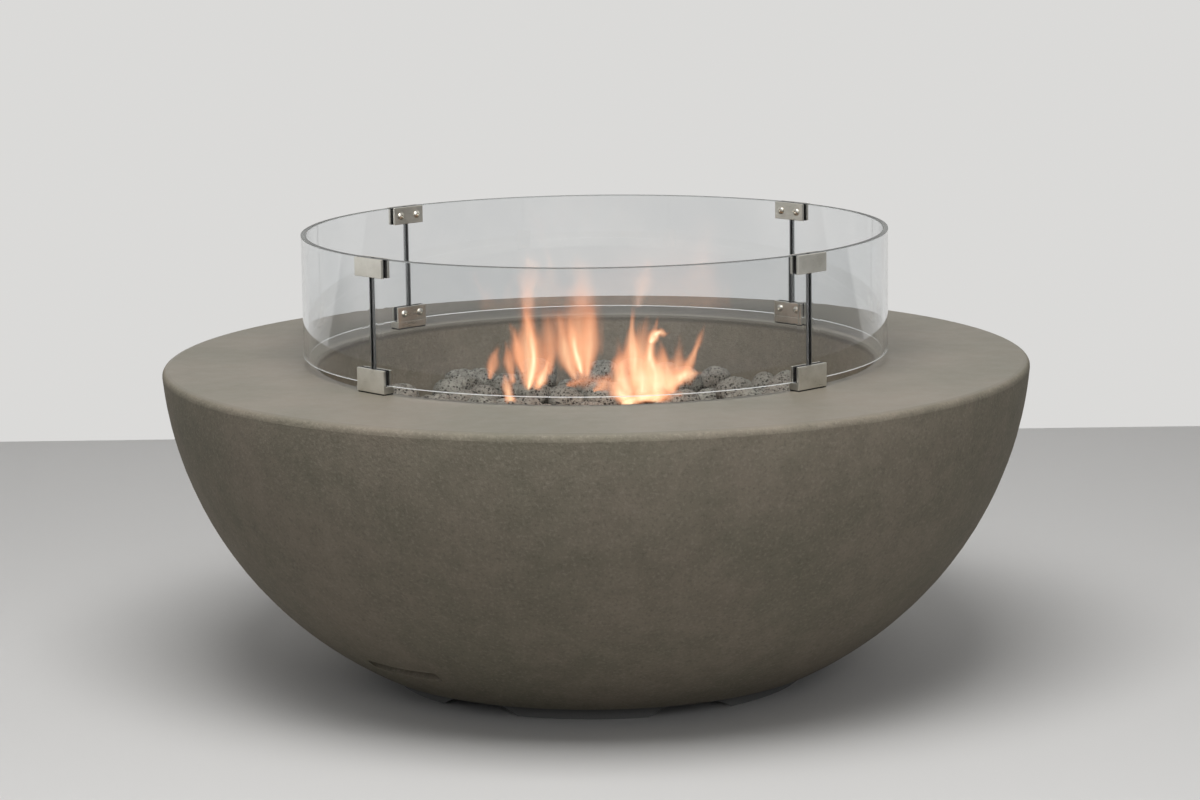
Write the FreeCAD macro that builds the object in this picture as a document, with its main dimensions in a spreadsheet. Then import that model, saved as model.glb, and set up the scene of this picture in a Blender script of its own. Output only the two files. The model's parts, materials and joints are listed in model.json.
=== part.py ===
import FreeCAD, Part
import math
import operator
import os
import Sketcher
from FreeCAD import Matrix, Placement, Rotation, Vector

# Gas fire bowl in cast concrete with a curved glass wind guard.
# Millimetres, +Z up, the bowl's axis on Z, the floor at Z = 0, the front towards -Y.
# An azimuth is measured from the front, -Y, towards +X.

# Driving sizes: name, value, meaning
DRIVING_SIZES = [
    ("bowl_diameter", 1066.8, "outside of the rim"),
    ("bowl_height", 394, "floor to the rim's top"),
    ("flank_radius", 455, "arc of the outside, seen from the side"),
    ("shell_wall", 22, "concrete wall of the flank"),
    ("lower_edge_diameter", 576, "where the flank ends above the foot ring"),
    ("foot_height", 20, "foot ring under the flank"),
    ("foot_setback", 31, "foot ring inside the flank's lower edge"),
    ("arch_count", 6, "arches in the foot ring"),
    ("arch_width", 110, "chord of an arch at the floor"),
    ("arch_rise", 16, "height of an arch"),
    ("arch_azimuth", 25, "degrees, first arch"),
    ("slot_azimuth", -40, "degrees, middle of the air slot"),
    ("slot_height", 65, "middle of the air slot above the floor"),
    ("slot_width", 108, "air slot in the flank"),
    ("slot_tall", 20, "air slot in the flank"),
    ("slot_round", 5, "corners of the air slot"),
    ("rim_round", 8, "outer edge of the rim"),
    ("opening_diameter", 687, "fire well at the rim"),
    ("opening_round", 4, "inner edge of the rim"),
    ("rim_slab", 26, "thickness of the rim"),
    ("well_wall", 20, "concrete wall of the well"),
    ("well_depth", 128, "rim to the ledge"),
    ("ledge_hole_diameter", 524, "hole in the well's ledge"),
    ("ledge_slab", 20, "thickness of the ledge"),
    ("pan_sheet", 1.5, "steel of the burner pan"),
    ("pan_play", 3, "pan flange to the well wall"),
    ("tray_play", 8, "pan's tray to the ledge hole"),
    ("tray_depth", 24, "pan flange down to the pan floor"),
    ("ring_diameter", 300, "burner ring, middle of the tube"),
    ("tube_diameter", 20, "burner tube"),
    ("tube_wall", 1.2, "burner tube wall"),
    ("port_count", 24, "flame ports on the ring"),
    ("port_diameter", 3, "flame port"),
    ("hub_diameter", 46, "burner hub"),
    ("hub_height", 24, "burner hub"),
    ("hub_grip", 12, "nipple inside the hub"),
    ("pipe_diameter", 21.3, "burner nipple outside"),
    ("pipe_bore", 15.8, "burner nipple bore"),
    ("pipe_drop", 36, "nipple below the pan floor"),
    ("thread_play", 0.05, "radial play of screwed and turning fits"),
    ("locknut_width", 32, "burner locknut across its flats"),
    ("locknut_height", 8, "burner locknut"),
    ("mixer_diameter", 30, "air mixer"),
    ("mixer_length", 44, "air mixer"),
    ("mixer_grip", 14, "nipple inside the mixer"),
    ("air_hole_diameter", 8, "air holes of the mixer"),
    ("jet_thread", 12, "diameter of the elbow's screwed ends"),
    ("jet_grip", 10, "elbow inside the mixer"),
    ("elbow_body", 20, "side of the elbow's block"),
    ("elbow_reach", 24, "elbow's axis to its outlet face"),
    ("jet_bore", 1.8, "gas jet"),
    ("line_diameter", 10, "gas line"),
    ("line_bore", 8, "gas line inside"),
    ("line_bend", 25, "radius of the gas line's bends"),
    ("line_run", 42, "straight ends of the gas line"),
    ("line_nut_width", 17, "nuts on the gas line"),
    ("line_nut_length", 16, "nuts on the gas line"),
    ("control_azimuth", 140, "degrees, middle of the control tray"),
    ("control_height", 50, "middle of the control tray above the floor"),
    ("control_recess", 5, "flange below the flank's surface"),
    ("flange_width", 110, "tray flange"),
    ("flange_tall", 68, "tray flange"),
    ("mouth_width", 90, "tray mouth"),
    ("mouth_tall", 50, "tray mouth"),
    ("control_sheet", 1.5, "steel of the tray"),
    ("control_depth", 32, "flange to the tray floor"),
    ("control_play", 0.6, "tray to the concrete around it"),
    ("mouth_round", 6, "upright corners of the tray"),
    ("tray_screw_diameter", 4, "flange screws"),
    ("tray_screw_length", 12, "flange screws under the flange"),
    ("tray_screw_head_diameter", 8, "flange screws"),
    ("tray_screw_head_height", 1.8, "flange screws"),
    ("head_taper", 0.8, "top of a pan head over its foot"),
    ("valve_offset", 20, "valve to the left of the tray's middle"),
    ("valve_width", 30, "valve block"),
    ("valve_tall", 28, "valve block"),
    ("valve_length", 46, "valve block"),
    ("neck_diameter", 12, "valve neck"),
    ("neck_length", 8, "valve neck above the tray floor"),
    ("valve_nut_width", 16, "valve nut"),
    ("valve_nut_height", 4, "valve nut"),
    ("port_depth", 8, "screwed ports of the valve"),
    ("inlet_setback", 24, "inlet behind the tray floor"),
    ("inlet_thread", 15.88, "flare thread of the inlet"),
    ("inlet_length", 16, "flare thread of the inlet"),
    ("inlet_hex", 19, "hexagon of the inlet"),
    ("inlet_hex_length", 8, "hexagon of the inlet"),
    ("inlet_bore", 6, "bore of the fittings"),
    ("flare_lip", 1, "wall left at the tip of the inlet"),
    ("spindle_diameter", 6, "valve spindle"),
    ("spindle_depth", 28, "spindle inside the valve block"),
    ("spindle_reach", 19, "spindle above the tray floor"),
    ("spindle_play", 0.2, "spindle to the plunger"),
    ("plunger_length", 7, "safety plunger behind the spindle"),
    ("plunger_room", 3, "behind the plunger when it is pushed in"),
    ("push_travel", 3, "push of the knob"),
    ("knob_diameter", 30, "control knob"),
    ("knob_lift", 5, "tray floor to the knob's skirt"),
    ("knob_height", 21, "control knob"),
    ("knob_hollow_diameter", 22, "hollow under the knob"),
    ("knob_hollow_depth", 7, "hollow under the knob"),
    ("knob_round", 2, "edge of the knob"),
    ("grip_count", 6, "hollows around the knob"),
    ("grip_diameter", 10, "hollows around the knob"),
    ("grip_depth", 2.3, "hollows around the knob"),
    ("pointer_width", 2, "pointer groove in the knob's top"),
    ("pointer_depth", 1.3, "pointer groove in the knob's top"),
    ("igniter_offset", 22, "igniter to the right of the tray's middle"),
    ("igniter_diameter", 22, "igniter body"),
    ("igniter_length", 62, "igniter body behind the tray floor"),
    ("bezel_diameter", 26, "igniter bezel"),
    ("bezel_height", 3, "igniter bezel"),
    ("igniter_nut_diameter", 30, "igniter nut"),
    ("igniter_nut_height", 6, "igniter nut"),
    ("button_diameter", 16, "igniter button"),
    ("button_play", 0.2, "button to its bore"),
    ("button_length", 16, "igniter button"),
    ("button_travel", 4, "push of the button"),
    ("button_stand", 6, "button above its bezel"),
    ("button_room", 2, "under the button when it is pushed in"),
    ("button_round", 1.6, "edge of the button"),
    ("battery_diameter", 10.5, "igniter cell"),
    ("battery_length", 44.5, "igniter cell"),
    ("battery_play", 0.3, "cell to its bore"),
    ("pilot_radius", 184, "spark electrode and thermocouple from the axis"),
    ("pilot_spread", 9, "electrode and thermocouple each side of the middle"),
    ("bracket_width", 56, "pilot bracket"),
    ("bracket_deep", 26, "pilot bracket"),
    ("bracket_tall", 34, "stone guard of the pilot bracket"),
    ("bracket_screw_diameter", 4, "bracket screws"),
    ("bracket_screw_length", 6, "bracket screws under their heads"),
    ("bracket_screw_head_diameter", 7.2, "bracket screws"),
    ("bracket_screw_head_height", 2.2, "bracket screws"),
    ("insulator_diameter", 8, "electrode ceramic"),
    ("insulator_rise", 26, "ceramic above the pan floor"),
    ("probe_drop", 16, "ceramic and thermocouple under the pan floor"),
    ("electrode_diameter", 2.4, "spark rod"),
    ("electrode_tip", 12, "spark rod beyond its ceramic"),
    ("probe_diameter", 6, "thermocouple"),
    ("probe_rise", 34, "thermocouple above the pan floor"),
    ("collar_diameter", 12, "collars on the bracket"),
    ("collar_height", 4, "collars on the bracket"),
    ("probe_play", 0.3, "radial play of ceramic and thermocouple in their holes"),
    ("lead_diameter", 4, "ignition lead"),
    ("probe_lead_diameter", 3, "thermocouple lead"),
    ("lead_bend", 25, "radius of the leads' bends"),
    ("lead_run", 62.5, "straight out of a back face to a lead's first bend"),
    ("lead_rise", 37.5, "upright end of a lead"),
    ("probe_port_side", 10, "thermocouple lead to the left of the valve's axis"),
    ("probe_port_up", 9.3, "thermocouple lead above the valve's axis"),
    ("stone_size", 58, "width of the largest stones"),
    ("stone_step", 5, "from one stone size to the next"),
    ("stone_flatness", 0.86, "height of a stone over its width"),
    ("stone_gap", 0.5, "between stones"),
    ("stone_bed_drop", 50, "rim to the top of the stones"),
    ("pilot_clear", 34, "stones kept this far from the pilot"),
    ("glass_diameter", 719.6, "outside of the glass"),
    ("glass_thickness", 6, "glass"),
    ("glass_height", 148, "glass"),
    ("panel_gap", 3, "between two panels"),
    ("joint_azimuth", -46.3, "degrees, the front left joint"),
    ("clip_width", 48, "clips along the glass"),
    ("clip_plate", 3.5, "clip plates"),
    ("clip_round", 0.6, "edges of the clips"),
    ("liner", 0.9, "rubber between a clip plate and the glass, at its thinnest"),
    ("upper_clip_tall", 22, "upper clips"),
    ("lower_clip_tall", 19, "lower clips above their floor"),
    ("clip_floor", 8.5, "floor of the lower clips"),
    ("seat_pad", 1, "rubber under the glass"),
    ("foot_pad", 1.5, "rubber under the lower clips"),
    ("foot_pad_margin", 1, "foot pad inside the clip's edge"),
    ("screw_spacing", 27, "two screws of a clip"),
    ("screw_diameter", 5, "clip screws"),
    ("screw_play", 0.3, "radial play of a clip screw in its plate"),
    ("screw_bite", 2.5, "clip screw inside the outer plate"),
    ("screw_head_diameter", 9.5, "clip screws"),
    ("screw_head_height", 2.8, "clip screws"),
    ("screw_rim_height", 0.7, "straight edge of a clip screw's head"),
    ("socket_width", 3, "hexagon socket of a clip screw"),
    ("socket_depth", 1.4, "hexagon socket of a clip screw"),
    ("glass_hole", 8, "screw holes in the glass"),
]

CORNERS = ["front_left", "front_right", "back_right", "back_left"]
PANELS = ["front", "right", "back", "left"]
STONE_CLASSES = 4
STONE_PLACES = 5000
HALVINGS = 20
GOLDEN_ANGLE = math.pi * (3 - math.sqrt(5))
GOLDEN_SHARE = (math.sqrt(5) - 1) / 2
HEX_CORNER = 2 / math.sqrt(3)
NEAR = 0.01

doc = FreeCAD.newDocument("fire_bowl")
sheet = doc.addObject("Spreadsheet::Sheet", "Sizes")
for row, (alias, value, meaning) in enumerate(DRIVING_SIZES, start=1):
    sheet.set(f"A{row}", alias)
    sheet.set(f"B{row}", str(value))
    sheet.setAlias(f"B{row}", alias)
    sheet.set(f"C{row}", meaning)
doc.recompute()


# Sizes that keep their cell expression

class Size:
    """A number together with the cell expression that it comes from."""

    def __init__(self, value, words):
        self.value = float(value)
        self.words = words

    def __float__(self):
        return self.value

    def __neg__(self):
        return joined(operator.mul, "*", -1, self)

    def __add__(self, other):
        return joined(operator.add, "+", self, other)

    def __radd__(self, other):
        return joined(operator.add, "+", other, self)

    def __sub__(self, other):
        return joined(operator.sub, "-", self, other)

    def __rsub__(self, other):
        return joined(operator.sub, "-", other, self)

    def __mul__(self, other):
        return joined(operator.mul, "*", self, other)

    def __rmul__(self, other):
        return joined(operator.mul, "*", other, self)

    def __truediv__(self, other):
        return joined(operator.truediv, "/", self, other)


def as_size(number):
    return number if isinstance(number, Size) else Size(number, f"({float(number)!r})")


def joined(work, sign, left, right):
    left, right = as_size(left), as_size(right)
    return Size(work(left.value, right.value), f"({left.words} {sign} {right.words})")


class Cells:
    """Reads a driving size from its cell by name."""

    def __getattr__(self, alias):
        return Size(sheet.get(alias), f"Sizes.{alias}")


size = Cells()


# Makers of features

nodes = []


def node(thing, label):
    """Marks a document object as a finished sub-part."""
    thing.Label = label
    nodes.append(thing)
    return thing


def bind(thing, **sizes):
    for name, value in sizes.items():
        thing.setExpression(name, as_size(value).words)
    return thing


def at(x=0, y=0, z=0, rotation=Rotation()):
    return Placement(Vector(float(x), float(y), float(z)), rotation)


def origin_plane(body, role):
    return next(item for item in body.Origin.OriginFeatures if item.Role == role)


def new_sketch(body, name, role, offset=None):
    sketch = body.newObject("Sketcher::SketchObject", name)
    sketch.AttachmentSupport = (origin_plane(body, role), [""])
    sketch.MapMode = "FlatFace"
    if offset is not None:
        sketch.setExpression("AttachmentOffset.Base.z", as_size(offset).words)
    return sketch


def tie(sketch, kind, *words, value):
    """Adds a dimension, bound to its cells when its value is a Size."""
    index = sketch.addConstraint(Sketcher.Constraint(kind, *words, float(value)))
    if isinstance(value, Size):
        sketch.setExpression(f"Constraints[{index}]", value.words)


def draw_outline(sketch, corners, arcs=None):
    """Draws a closed outline through corners.

    A corner's coordinate is a Size, or a plain number that is only a first guess.
    arcs maps a side's index to its radius and a point that the side passes near.
    """
    arcs = arcs or {}
    points = [Vector(float(across), float(up), 0) for across, up in corners]
    ends = []
    for side, start in enumerate(points):
        finish = points[(side + 1) % len(points)]
        if side in arcs:
            curve = Part.Arc(start, arcs[side][1], finish)
        else:
            curve = Part.LineSegment(start, finish)
        index = sketch.addGeometry(curve, False)
        from_first = sketch.getPoint(index, 1).distanceToPoint(start)
        from_last = sketch.getPoint(index, 2).distanceToPoint(start)
        ends.append((index, 1, 2) if from_first < from_last else (index, 2, 1))
    for side, (index, _, last) in enumerate(ends):
        following, first, _ = ends[(side + 1) % len(ends)]
        sketch.addConstraint(Sketcher.Constraint("Coincident", index, last, following, first))
    for (index, first, _), (across, up) in zip(ends, corners):
        if isinstance(across, Size):
            tie(sketch, "DistanceX", -1, 1, index, first, value=across)
        if isinstance(up, Size):
            tie(sketch, "DistanceY", -1, 1, index, first, value=up)
    for side, (radius, _) in arcs.items():
        tie(sketch, "Radius", ends[side][0], value=radius)
    return ends


def draw_circle(sketch, across, up, radius):
    middle = Vector(float(across), float(up), 0)
    index = sketch.addGeometry(Part.Circle(middle, Vector(0, 0, 1), float(radius)), False)
    tie(sketch, "DistanceX", -1, 1, index, 3, value=across)
    tie(sketch, "DistanceY", -1, 1, index, 3, value=up)
    tie(sketch, "Radius", index, value=radius)


def rectangle(left, right, bottom, top):
    left, right, bottom, top = as_size(left), as_size(right), as_size(bottom), as_size(top)
    return [(left, bottom), (right, bottom), (right, top), (left, top)]


def turned(name, corners, place=Placement(), arcs=None):
    """A body turned about its Z axis from an outline of (radius, height) corners."""
    body = doc.addObject("PartDesign::Body", name)
    sketch = new_sketch(body, f"{name}_outline", "XZ_Plane")
    draw_outline(sketch, [(as_size(across), as_size(up)) for across, up in corners], arcs)
    turn = body.newObject("PartDesign::Revolution", f"{name}_turn")
    turn.Profile = sketch
    turn.ReferenceAxis = (sketch, ["V_Axis"])
    turn.Angle = 360
    body.Placement = place
    return body


def tube(name, outer, inner, bottom, top, place=Placement()):
    return turned(name, [(inner, bottom), (outer, bottom), (outer, top), (inner, top)], place)


def rod(name, radius, bottom, top, place=Placement()):
    return tube(name, radius, 0, bottom, top, place)


def pad(body, name, role, corners, length, middle=False):
    sketch = new_sketch(body, f"{name}_outline", role)
    draw_outline(sketch, corners)
    feature = body.newObject("PartDesign::Pad", name)
    feature.Profile = sketch
    bind(feature, Length=length)
    feature.Midplane = middle
    return feature


def round_edges(body, name, radius, chosen):
    """Rounds the edges of the body's tip that pass a test."""
    doc.recompute()
    base = body.Tip
    edges = [f"Edge{number}" for number, edge in enumerate(base.Shape.Edges, start=1) if chosen(edge)]
    feature = body.newObject("PartDesign::Fillet", name)
    feature.Base = (base, edges)
    bind(feature, Radius=radius)
    return feature


def bore_holes(body, name, role, centres, radius, depth, offset=None):
    """Sinks round holes from a plane along its normal, and checks that they cut."""
    doc.recompute()
    before = body.Shape.Volume
    sketch = new_sketch(body, f"{name}_circles", role, offset)
    for across, up in centres:
        draw_circle(sketch, as_size(across), as_size(up), as_size(radius))
    feature = body.newObject("PartDesign::Pocket", name)
    feature.Profile = sketch
    feature.Reversed = True
    bind(feature, Length=depth)
    doc.recompute()
    if body.Shape.Volume >= before:
        raise RuntimeError(f"{name} cuts nothing")
    return feature


def box(name, width, deep, tall, place):
    """A box centred on its placement in X and Y, rising from it in Z."""
    piece = doc.addObject("Part::Box", name)
    bind(piece, Length=width, Width=deep, Height=tall)
    piece.Placement = place * at(-as_size(width) / 2, -as_size(deep) / 2, 0)
    return piece


def cylinder(name, radius, height, place=Placement()):
    piece = doc.addObject("Part::Cylinder", name)
    bind(piece, Radius=radius, Height=height)
    piece.Placement = place
    return piece


def hexagon(name, width, height, place=Placement()):
    piece = doc.addObject("Part::Prism", name)
    piece.Polygon = 6
    bind(piece, Circumradius=width * HEX_CORNER / 2, Height=height)
    piece.Placement = place
    return piece


def group(name, things):
    made = doc.addObject("Part::Compound", name)
    made.Links = things
    return made


def fused(name, things):
    made = doc.addObject("Part::MultiFuse", name)
    made.Shapes = things
    return made


def cut(name, base, tools):
    made = doc.addObject("Part::Cut", name)
    made.Base = base
    made.Tool = tools[0] if len(tools) == 1 else group(f"{name}_tools", tools)
    return made


def copies(name, source, places):
    """One sub-part that holds separate copies of a solid."""
    doc.recompute()
    made = doc.addObject("Part::Feature", name)
    solids = []
    for place in places:
        solid = source.Shape.copy()
        solid.Placement = place
        solids.append(solid)
    made.Shape = Part.makeCompound(solids)
    return node(made, name)


def bent_tube(name, points, outer, inner, bend):
    """A tube along straight runs joined by tangent arcs of one radius."""
    edges = []
    here = points[0]
    for before, corner, after in zip(points, points[1:], points[2:]):
        back, ahead = (before - corner).normalize(), (after - corner).normalize()
        half_turn = (math.pi - back.getAngle(ahead)) / 2
        reach = float(bend) * math.tan(half_turn)
        start, finish = corner + back * reach, corner + ahead * reach
        inward = (back + ahead).normalize()
        middle = corner + inward * (float(bend) / math.cos(half_turn) - float(bend))
        edges.append(Part.LineSegment(here, start).toShape())
        edges.append(Part.Arc(start, middle, finish).toShape())
        here = finish
    edges.append(Part.LineSegment(here, points[-1]).toShape())
    path = Part.Wire(edges)
    direction = points[1] - points[0]

    def swept(radius):
        section = Part.Wire([Part.makeCircle(float(radius), points[0], direction)])
        return path.makePipeShell([section], True, False)

    solid = swept(outer)
    area = math.pi * float(outer) ** 2
    if inner is not None:
        solid = solid.cut(swept(inner))
        area -= math.pi * float(inner) ** 2
    filled = solid.Volume / area / path.Length
    print(f"{name}: {path.Length:.0f} mm long, volume over section times length {filled:.4f}")
    made = doc.addObject("Part::Feature", name)
    made.Shape = solid
    return node(made, name)


# Heights and radii that several pieces share

rim_radius = size.bowl_diameter / 2
opening_radius = size.opening_diameter / 2
lower_edge_radius = size.lower_edge_diameter / 2
ledge_top = size.bowl_height - size.well_depth
ledge_radius = size.ledge_hole_diameter / 2
pan_top = ledge_top + size.pan_sheet
tray_radius = ledge_radius - size.tray_play
pan_floor_top = pan_top - size.tray_depth
pan_floor = pan_floor_top - size.pan_sheet
pipe_radius = size.pipe_diameter / 2
hub_bottom = pan_floor_top + size.locknut_height
tube_middle = hub_bottom + size.hub_height / 2
tube_radius = size.tube_diameter / 2
ring_radius = size.ring_diameter / 2
pipe_end = pan_floor - size.pipe_drop
mixer_bottom = pipe_end + size.mixer_grip - size.mixer_length
elbow_height = mixer_bottom - size.elbow_body / 2


# The flank's arc, its centre, and the frame of the control tray on it

flank_top = Vector(float(rim_radius), float(size.bowl_height), 0)
flank_foot = Vector(float(lower_edge_radius), float(size.foot_height), 0)
chord = flank_foot - flank_top
chord_normal = Vector(chord.y, -chord.x, 0).normalize()
chord_rise = math.sqrt(float(size.flank_radius) ** 2 - chord.Length ** 2 / 4)
flank_centre = (flank_top + flank_foot) * 0.5 + chord_normal * chord_rise


def on_flank(height, inset=0):
    """The flank's radius at a height, on its arc or on one that lies inside it."""
    radius = float(size.flank_radius) - float(inset)
    return flank_centre.x + math.sqrt(radius ** 2 - (height - flank_centre.y) ** 2)


def turned_to(azimuth):
    """Turns what is drawn at the front to an azimuth in degrees."""
    return Rotation(Vector(0, 0, 1), float(azimuth))


def flank_frame(azimuth, height):
    """A frame on the flank: X to the right, Y up the flank, Z out of it."""
    radius = on_flank(float(height))
    normal_out = (radius - flank_centre.x) / float(size.flank_radius)
    normal_up = (float(height) - flank_centre.y) / float(size.flank_radius)
    tilt = Rotation(Vector(1, 0, 0), math.degrees(math.atan2(normal_out, normal_up)))
    turn = turned_to(azimuth)
    return Placement(turn.multVec(Vector(0, -radius, float(height))), turn * tilt)


control_turn = turned_to(size.control_azimuth)
control_frame = flank_frame(size.control_azimuth, size.control_height)


def in_control(x=0, y=0, z=0, rotation=Rotation()):
    """A place in the tray's frame."""
    return control_frame * at(x, y, z, rotation)


def beside_control(radius, sideways, height):
    """A point from its distance to the axis, measured at the tray's azimuth, and its height."""
    return control_turn.multVec(Vector(float(sideways), -float(radius), float(height)))


# Bowl shell

def upright(edge):
    return edge.BoundBox.XLength < NEAR and edge.BoundBox.YLength < NEAR


def make_air_slot():
    """The tool that cuts the slot through the flank's wall."""
    body = doc.addObject("PartDesign::Body", "air_slot")
    wide, tall = size.slot_width / 2, size.slot_tall / 2
    pad(body, "slot_block", "XY_Plane", rectangle(-wide, wide, -tall, tall), size.shell_wall * 3, middle=True)
    round_edges(body, "slot_corners", size.slot_round, upright)
    body.Placement = flank_frame(size.slot_azimuth, size.slot_height)
    return body


def make_bowl_shell():
    body = doc.addObject("PartDesign::Body", "bowl_turned")
    sketch = new_sketch(body, "bowl_outline", "XZ_Plane")
    slab_under = size.bowl_height - size.rim_slab
    well_outside = opening_radius + size.well_wall
    ledge_under = ledge_top - size.ledge_slab
    foot_outside = lower_edge_radius - size.foot_setback
    foot_inside = on_flank(float(size.foot_height), size.shell_wall)
    under_rim = on_flank(float(slab_under), size.shell_wall)
    middle = float(size.bowl_height) / 2
    outline = [
        (opening_radius, size.bowl_height),
        (rim_radius, size.bowl_height),
        (lower_edge_radius, size.foot_height),
        (foot_outside, size.foot_height),
        (foot_outside, as_size(0)),
        (foot_inside, as_size(0)),
        (foot_inside, size.foot_height),
        (under_rim, slab_under),
        (well_outside, slab_under),
        (well_outside, ledge_under),
        (ledge_radius, ledge_under),
        (ledge_radius, ledge_top),
        (opening_radius, ledge_top),
    ]
    flank_side, foot_side, inner_side = 1, 5, 6
    outer_point = Vector(on_flank(middle), middle, 0)
    inner_point = Vector(on_flank(middle, size.shell_wall), middle, 0)
    arcs = {
        flank_side: (size.flank_radius, outer_point),
        inner_side: (size.flank_radius - size.shell_wall, inner_point),
    }
    ends = draw_outline(sketch, outline, arcs)
    sketch.addConstraint(Sketcher.Constraint("Coincident", ends[flank_side][0], 3, ends[inner_side][0], 3))
    sketch.addConstraint(Sketcher.Constraint("Vertical", ends[foot_side][0]))
    turn = body.newObject("PartDesign::Revolution", "bowl_turn")
    turn.Profile = sketch
    turn.ReferenceAxis = (sketch, ["V_Axis"])
    turn.Angle = 360

    def rim_edge(radius):
        def chosen(edge):
            extent = edge.BoundBox
            at_top = abs(extent.ZMin - float(size.bowl_height)) < NEAR and extent.ZLength < NEAR
            return at_top and abs(extent.XMax - float(radius)) < NEAR
        return chosen

    round_edges(body, "rim_rounding", size.rim_round, rim_edge(rim_radius))
    round_edges(body, "opening_rounding", size.opening_round, rim_edge(opening_radius))

    half_arch = size.arch_width / 2
    arch_radius = (half_arch * half_arch + size.arch_rise * size.arch_rise) / (2 * size.arch_rise)
    tools = []
    for number in range(int(float(size.arch_count))):
        turn_by = turned_to(float(size.arch_azimuth) + number * 360 / float(size.arch_count))
        lying = turn_by * Rotation(Vector(1, 0, 0), 90)
        place = Placement(Vector(0, 0, float(size.arch_rise - arch_radius)), lying)
        tools.append(cylinder(f"arch_{number + 1}", arch_radius, lower_edge_radius, place))
    flange_back = -size.control_recess - size.control_sheet
    window_width = size.mouth_width + 2 * (size.control_sheet + size.control_play)
    window_tall = size.mouth_tall + 2 * (size.control_sheet + size.control_play)
    window_depth = size.shell_wall * 3
    tools.append(box("flange_pocket", size.flange_width + 2 * size.control_play,
                     size.flange_tall + 2 * size.control_play, size.shell_wall, in_control(z=flange_back)))
    tools.append(box("tray_window", window_width, window_tall, window_depth,
                     in_control(z=flange_back - window_depth)))
    screw_hole = size.tray_screw_diameter / 2 + size.thread_play
    for number, (x, y) in enumerate(flange_screw_places()):
        place = in_control(x, y, flange_back - size.tray_screw_length)
        tools.append(cylinder(f"flange_screw_hole_{number + 1}", screw_hole, size.tray_screw_length, place))
    tools.append(make_air_slot())
    whole = cut("arched_bowl", body, tools[:int(float(size.arch_count))])
    for tool in tools[int(float(size.arch_count)):]:
        whole = cut(f"bowl_less_{tool.Name}", whole, [tool])
    node(whole, "bowl_shell")


def flange_screw_places():
    x = (size.flange_width + size.mouth_width) / 4
    y = (size.flange_tall + size.mouth_tall) / 4
    return [(x, y), (-x, y), (-x, -y), (x, -y)]


# Burner: pan, ring, nipple, locknuts, air mixer and orifice elbow

def pilot_point(sideways, height):
    return beside_control(size.pilot_radius, sideways, height)


def make_burner_pan():
    pipe_hole = pipe_radius + size.thread_play
    inside = tray_radius - size.pan_sheet
    flange = opening_radius - size.pan_play
    body = turned("pan_turned", [
        (pipe_hole, pan_floor), (tray_radius, pan_floor), (tray_radius, ledge_top), (flange, ledge_top),
        (flange, pan_top), (inside, pan_top), (inside, pan_floor_top), (pipe_hole, pan_floor_top)])
    tools = []
    probe_holes = [(-size.pilot_spread, size.probe_diameter / 2 + size.probe_play),
                   (size.pilot_spread, size.insulator_diameter / 2 + size.probe_play)]
    screw_hole = size.bracket_screw_diameter / 2 + size.thread_play
    screw_holes = [(-bracket_screw_side(), screw_hole), (bracket_screw_side(), screw_hole)]
    for number, (sideways, radius) in enumerate(probe_holes + screw_holes):
        point = pilot_point(sideways, pan_floor - size.pan_sheet)
        place = at(point.x, point.y, point.z)
        tools.append(cylinder(f"pan_hole_{number + 1}", radius, size.pan_sheet * 3, place))
    node(cut("pan_with_holes", body, tools), "burner_pan")


def make_burner_ring():
    lying = Rotation(Vector(0, 1, 0), 90)
    inner_radius = tube_radius - size.tube_wall

    def ring(name, radius):
        """Four quarter bends of tube that make the ring."""
        bends = []
        for number in range(4):
            bend = doc.addObject("Part::Torus", f"{name}_{number + 1}")
            bind(bend, Radius1=ring_radius, Radius2=radius)
            bend.Angle3 = 90
            bend.Placement = at(z=tube_middle, rotation=Rotation(Vector(0, 0, 1), 45 + 90 * number))
            bends.append(bend)
        return bends

    outside = fused("burner_outside", ring("ring_tube", tube_radius) + [
        cylinder("spokes", tube_radius, size.ring_diameter, at(-ring_radius, 0, tube_middle, lying)),
        cylinder("hub", size.hub_diameter / 2, size.hub_height, at(z=hub_bottom)),
    ])
    inside = fused("burner_inside", ring("ring_bore", inner_radius) + [
        cylinder("spoke_bore", inner_radius, size.ring_diameter, at(-ring_radius, 0, tube_middle, lying)),
        cylinder("hub_bore", pipe_radius + size.thread_play, size.hub_grip, at(z=hub_bottom)),
    ])
    ports = []
    count = int(float(size.port_count))
    for number in range(count):
        angle = 2 * math.pi * (number + 0.5) / count
        place = at(float(ring_radius) * math.cos(angle), float(ring_radius) * math.sin(angle), tube_middle)
        ports.append(cylinder(f"port_{number + 1}", size.port_diameter / 2, size.tube_diameter, place))
    node(cut("ring_with_ports", cut("hollow_burner", outside, [inside]), ports), "burner_ring")


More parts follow.
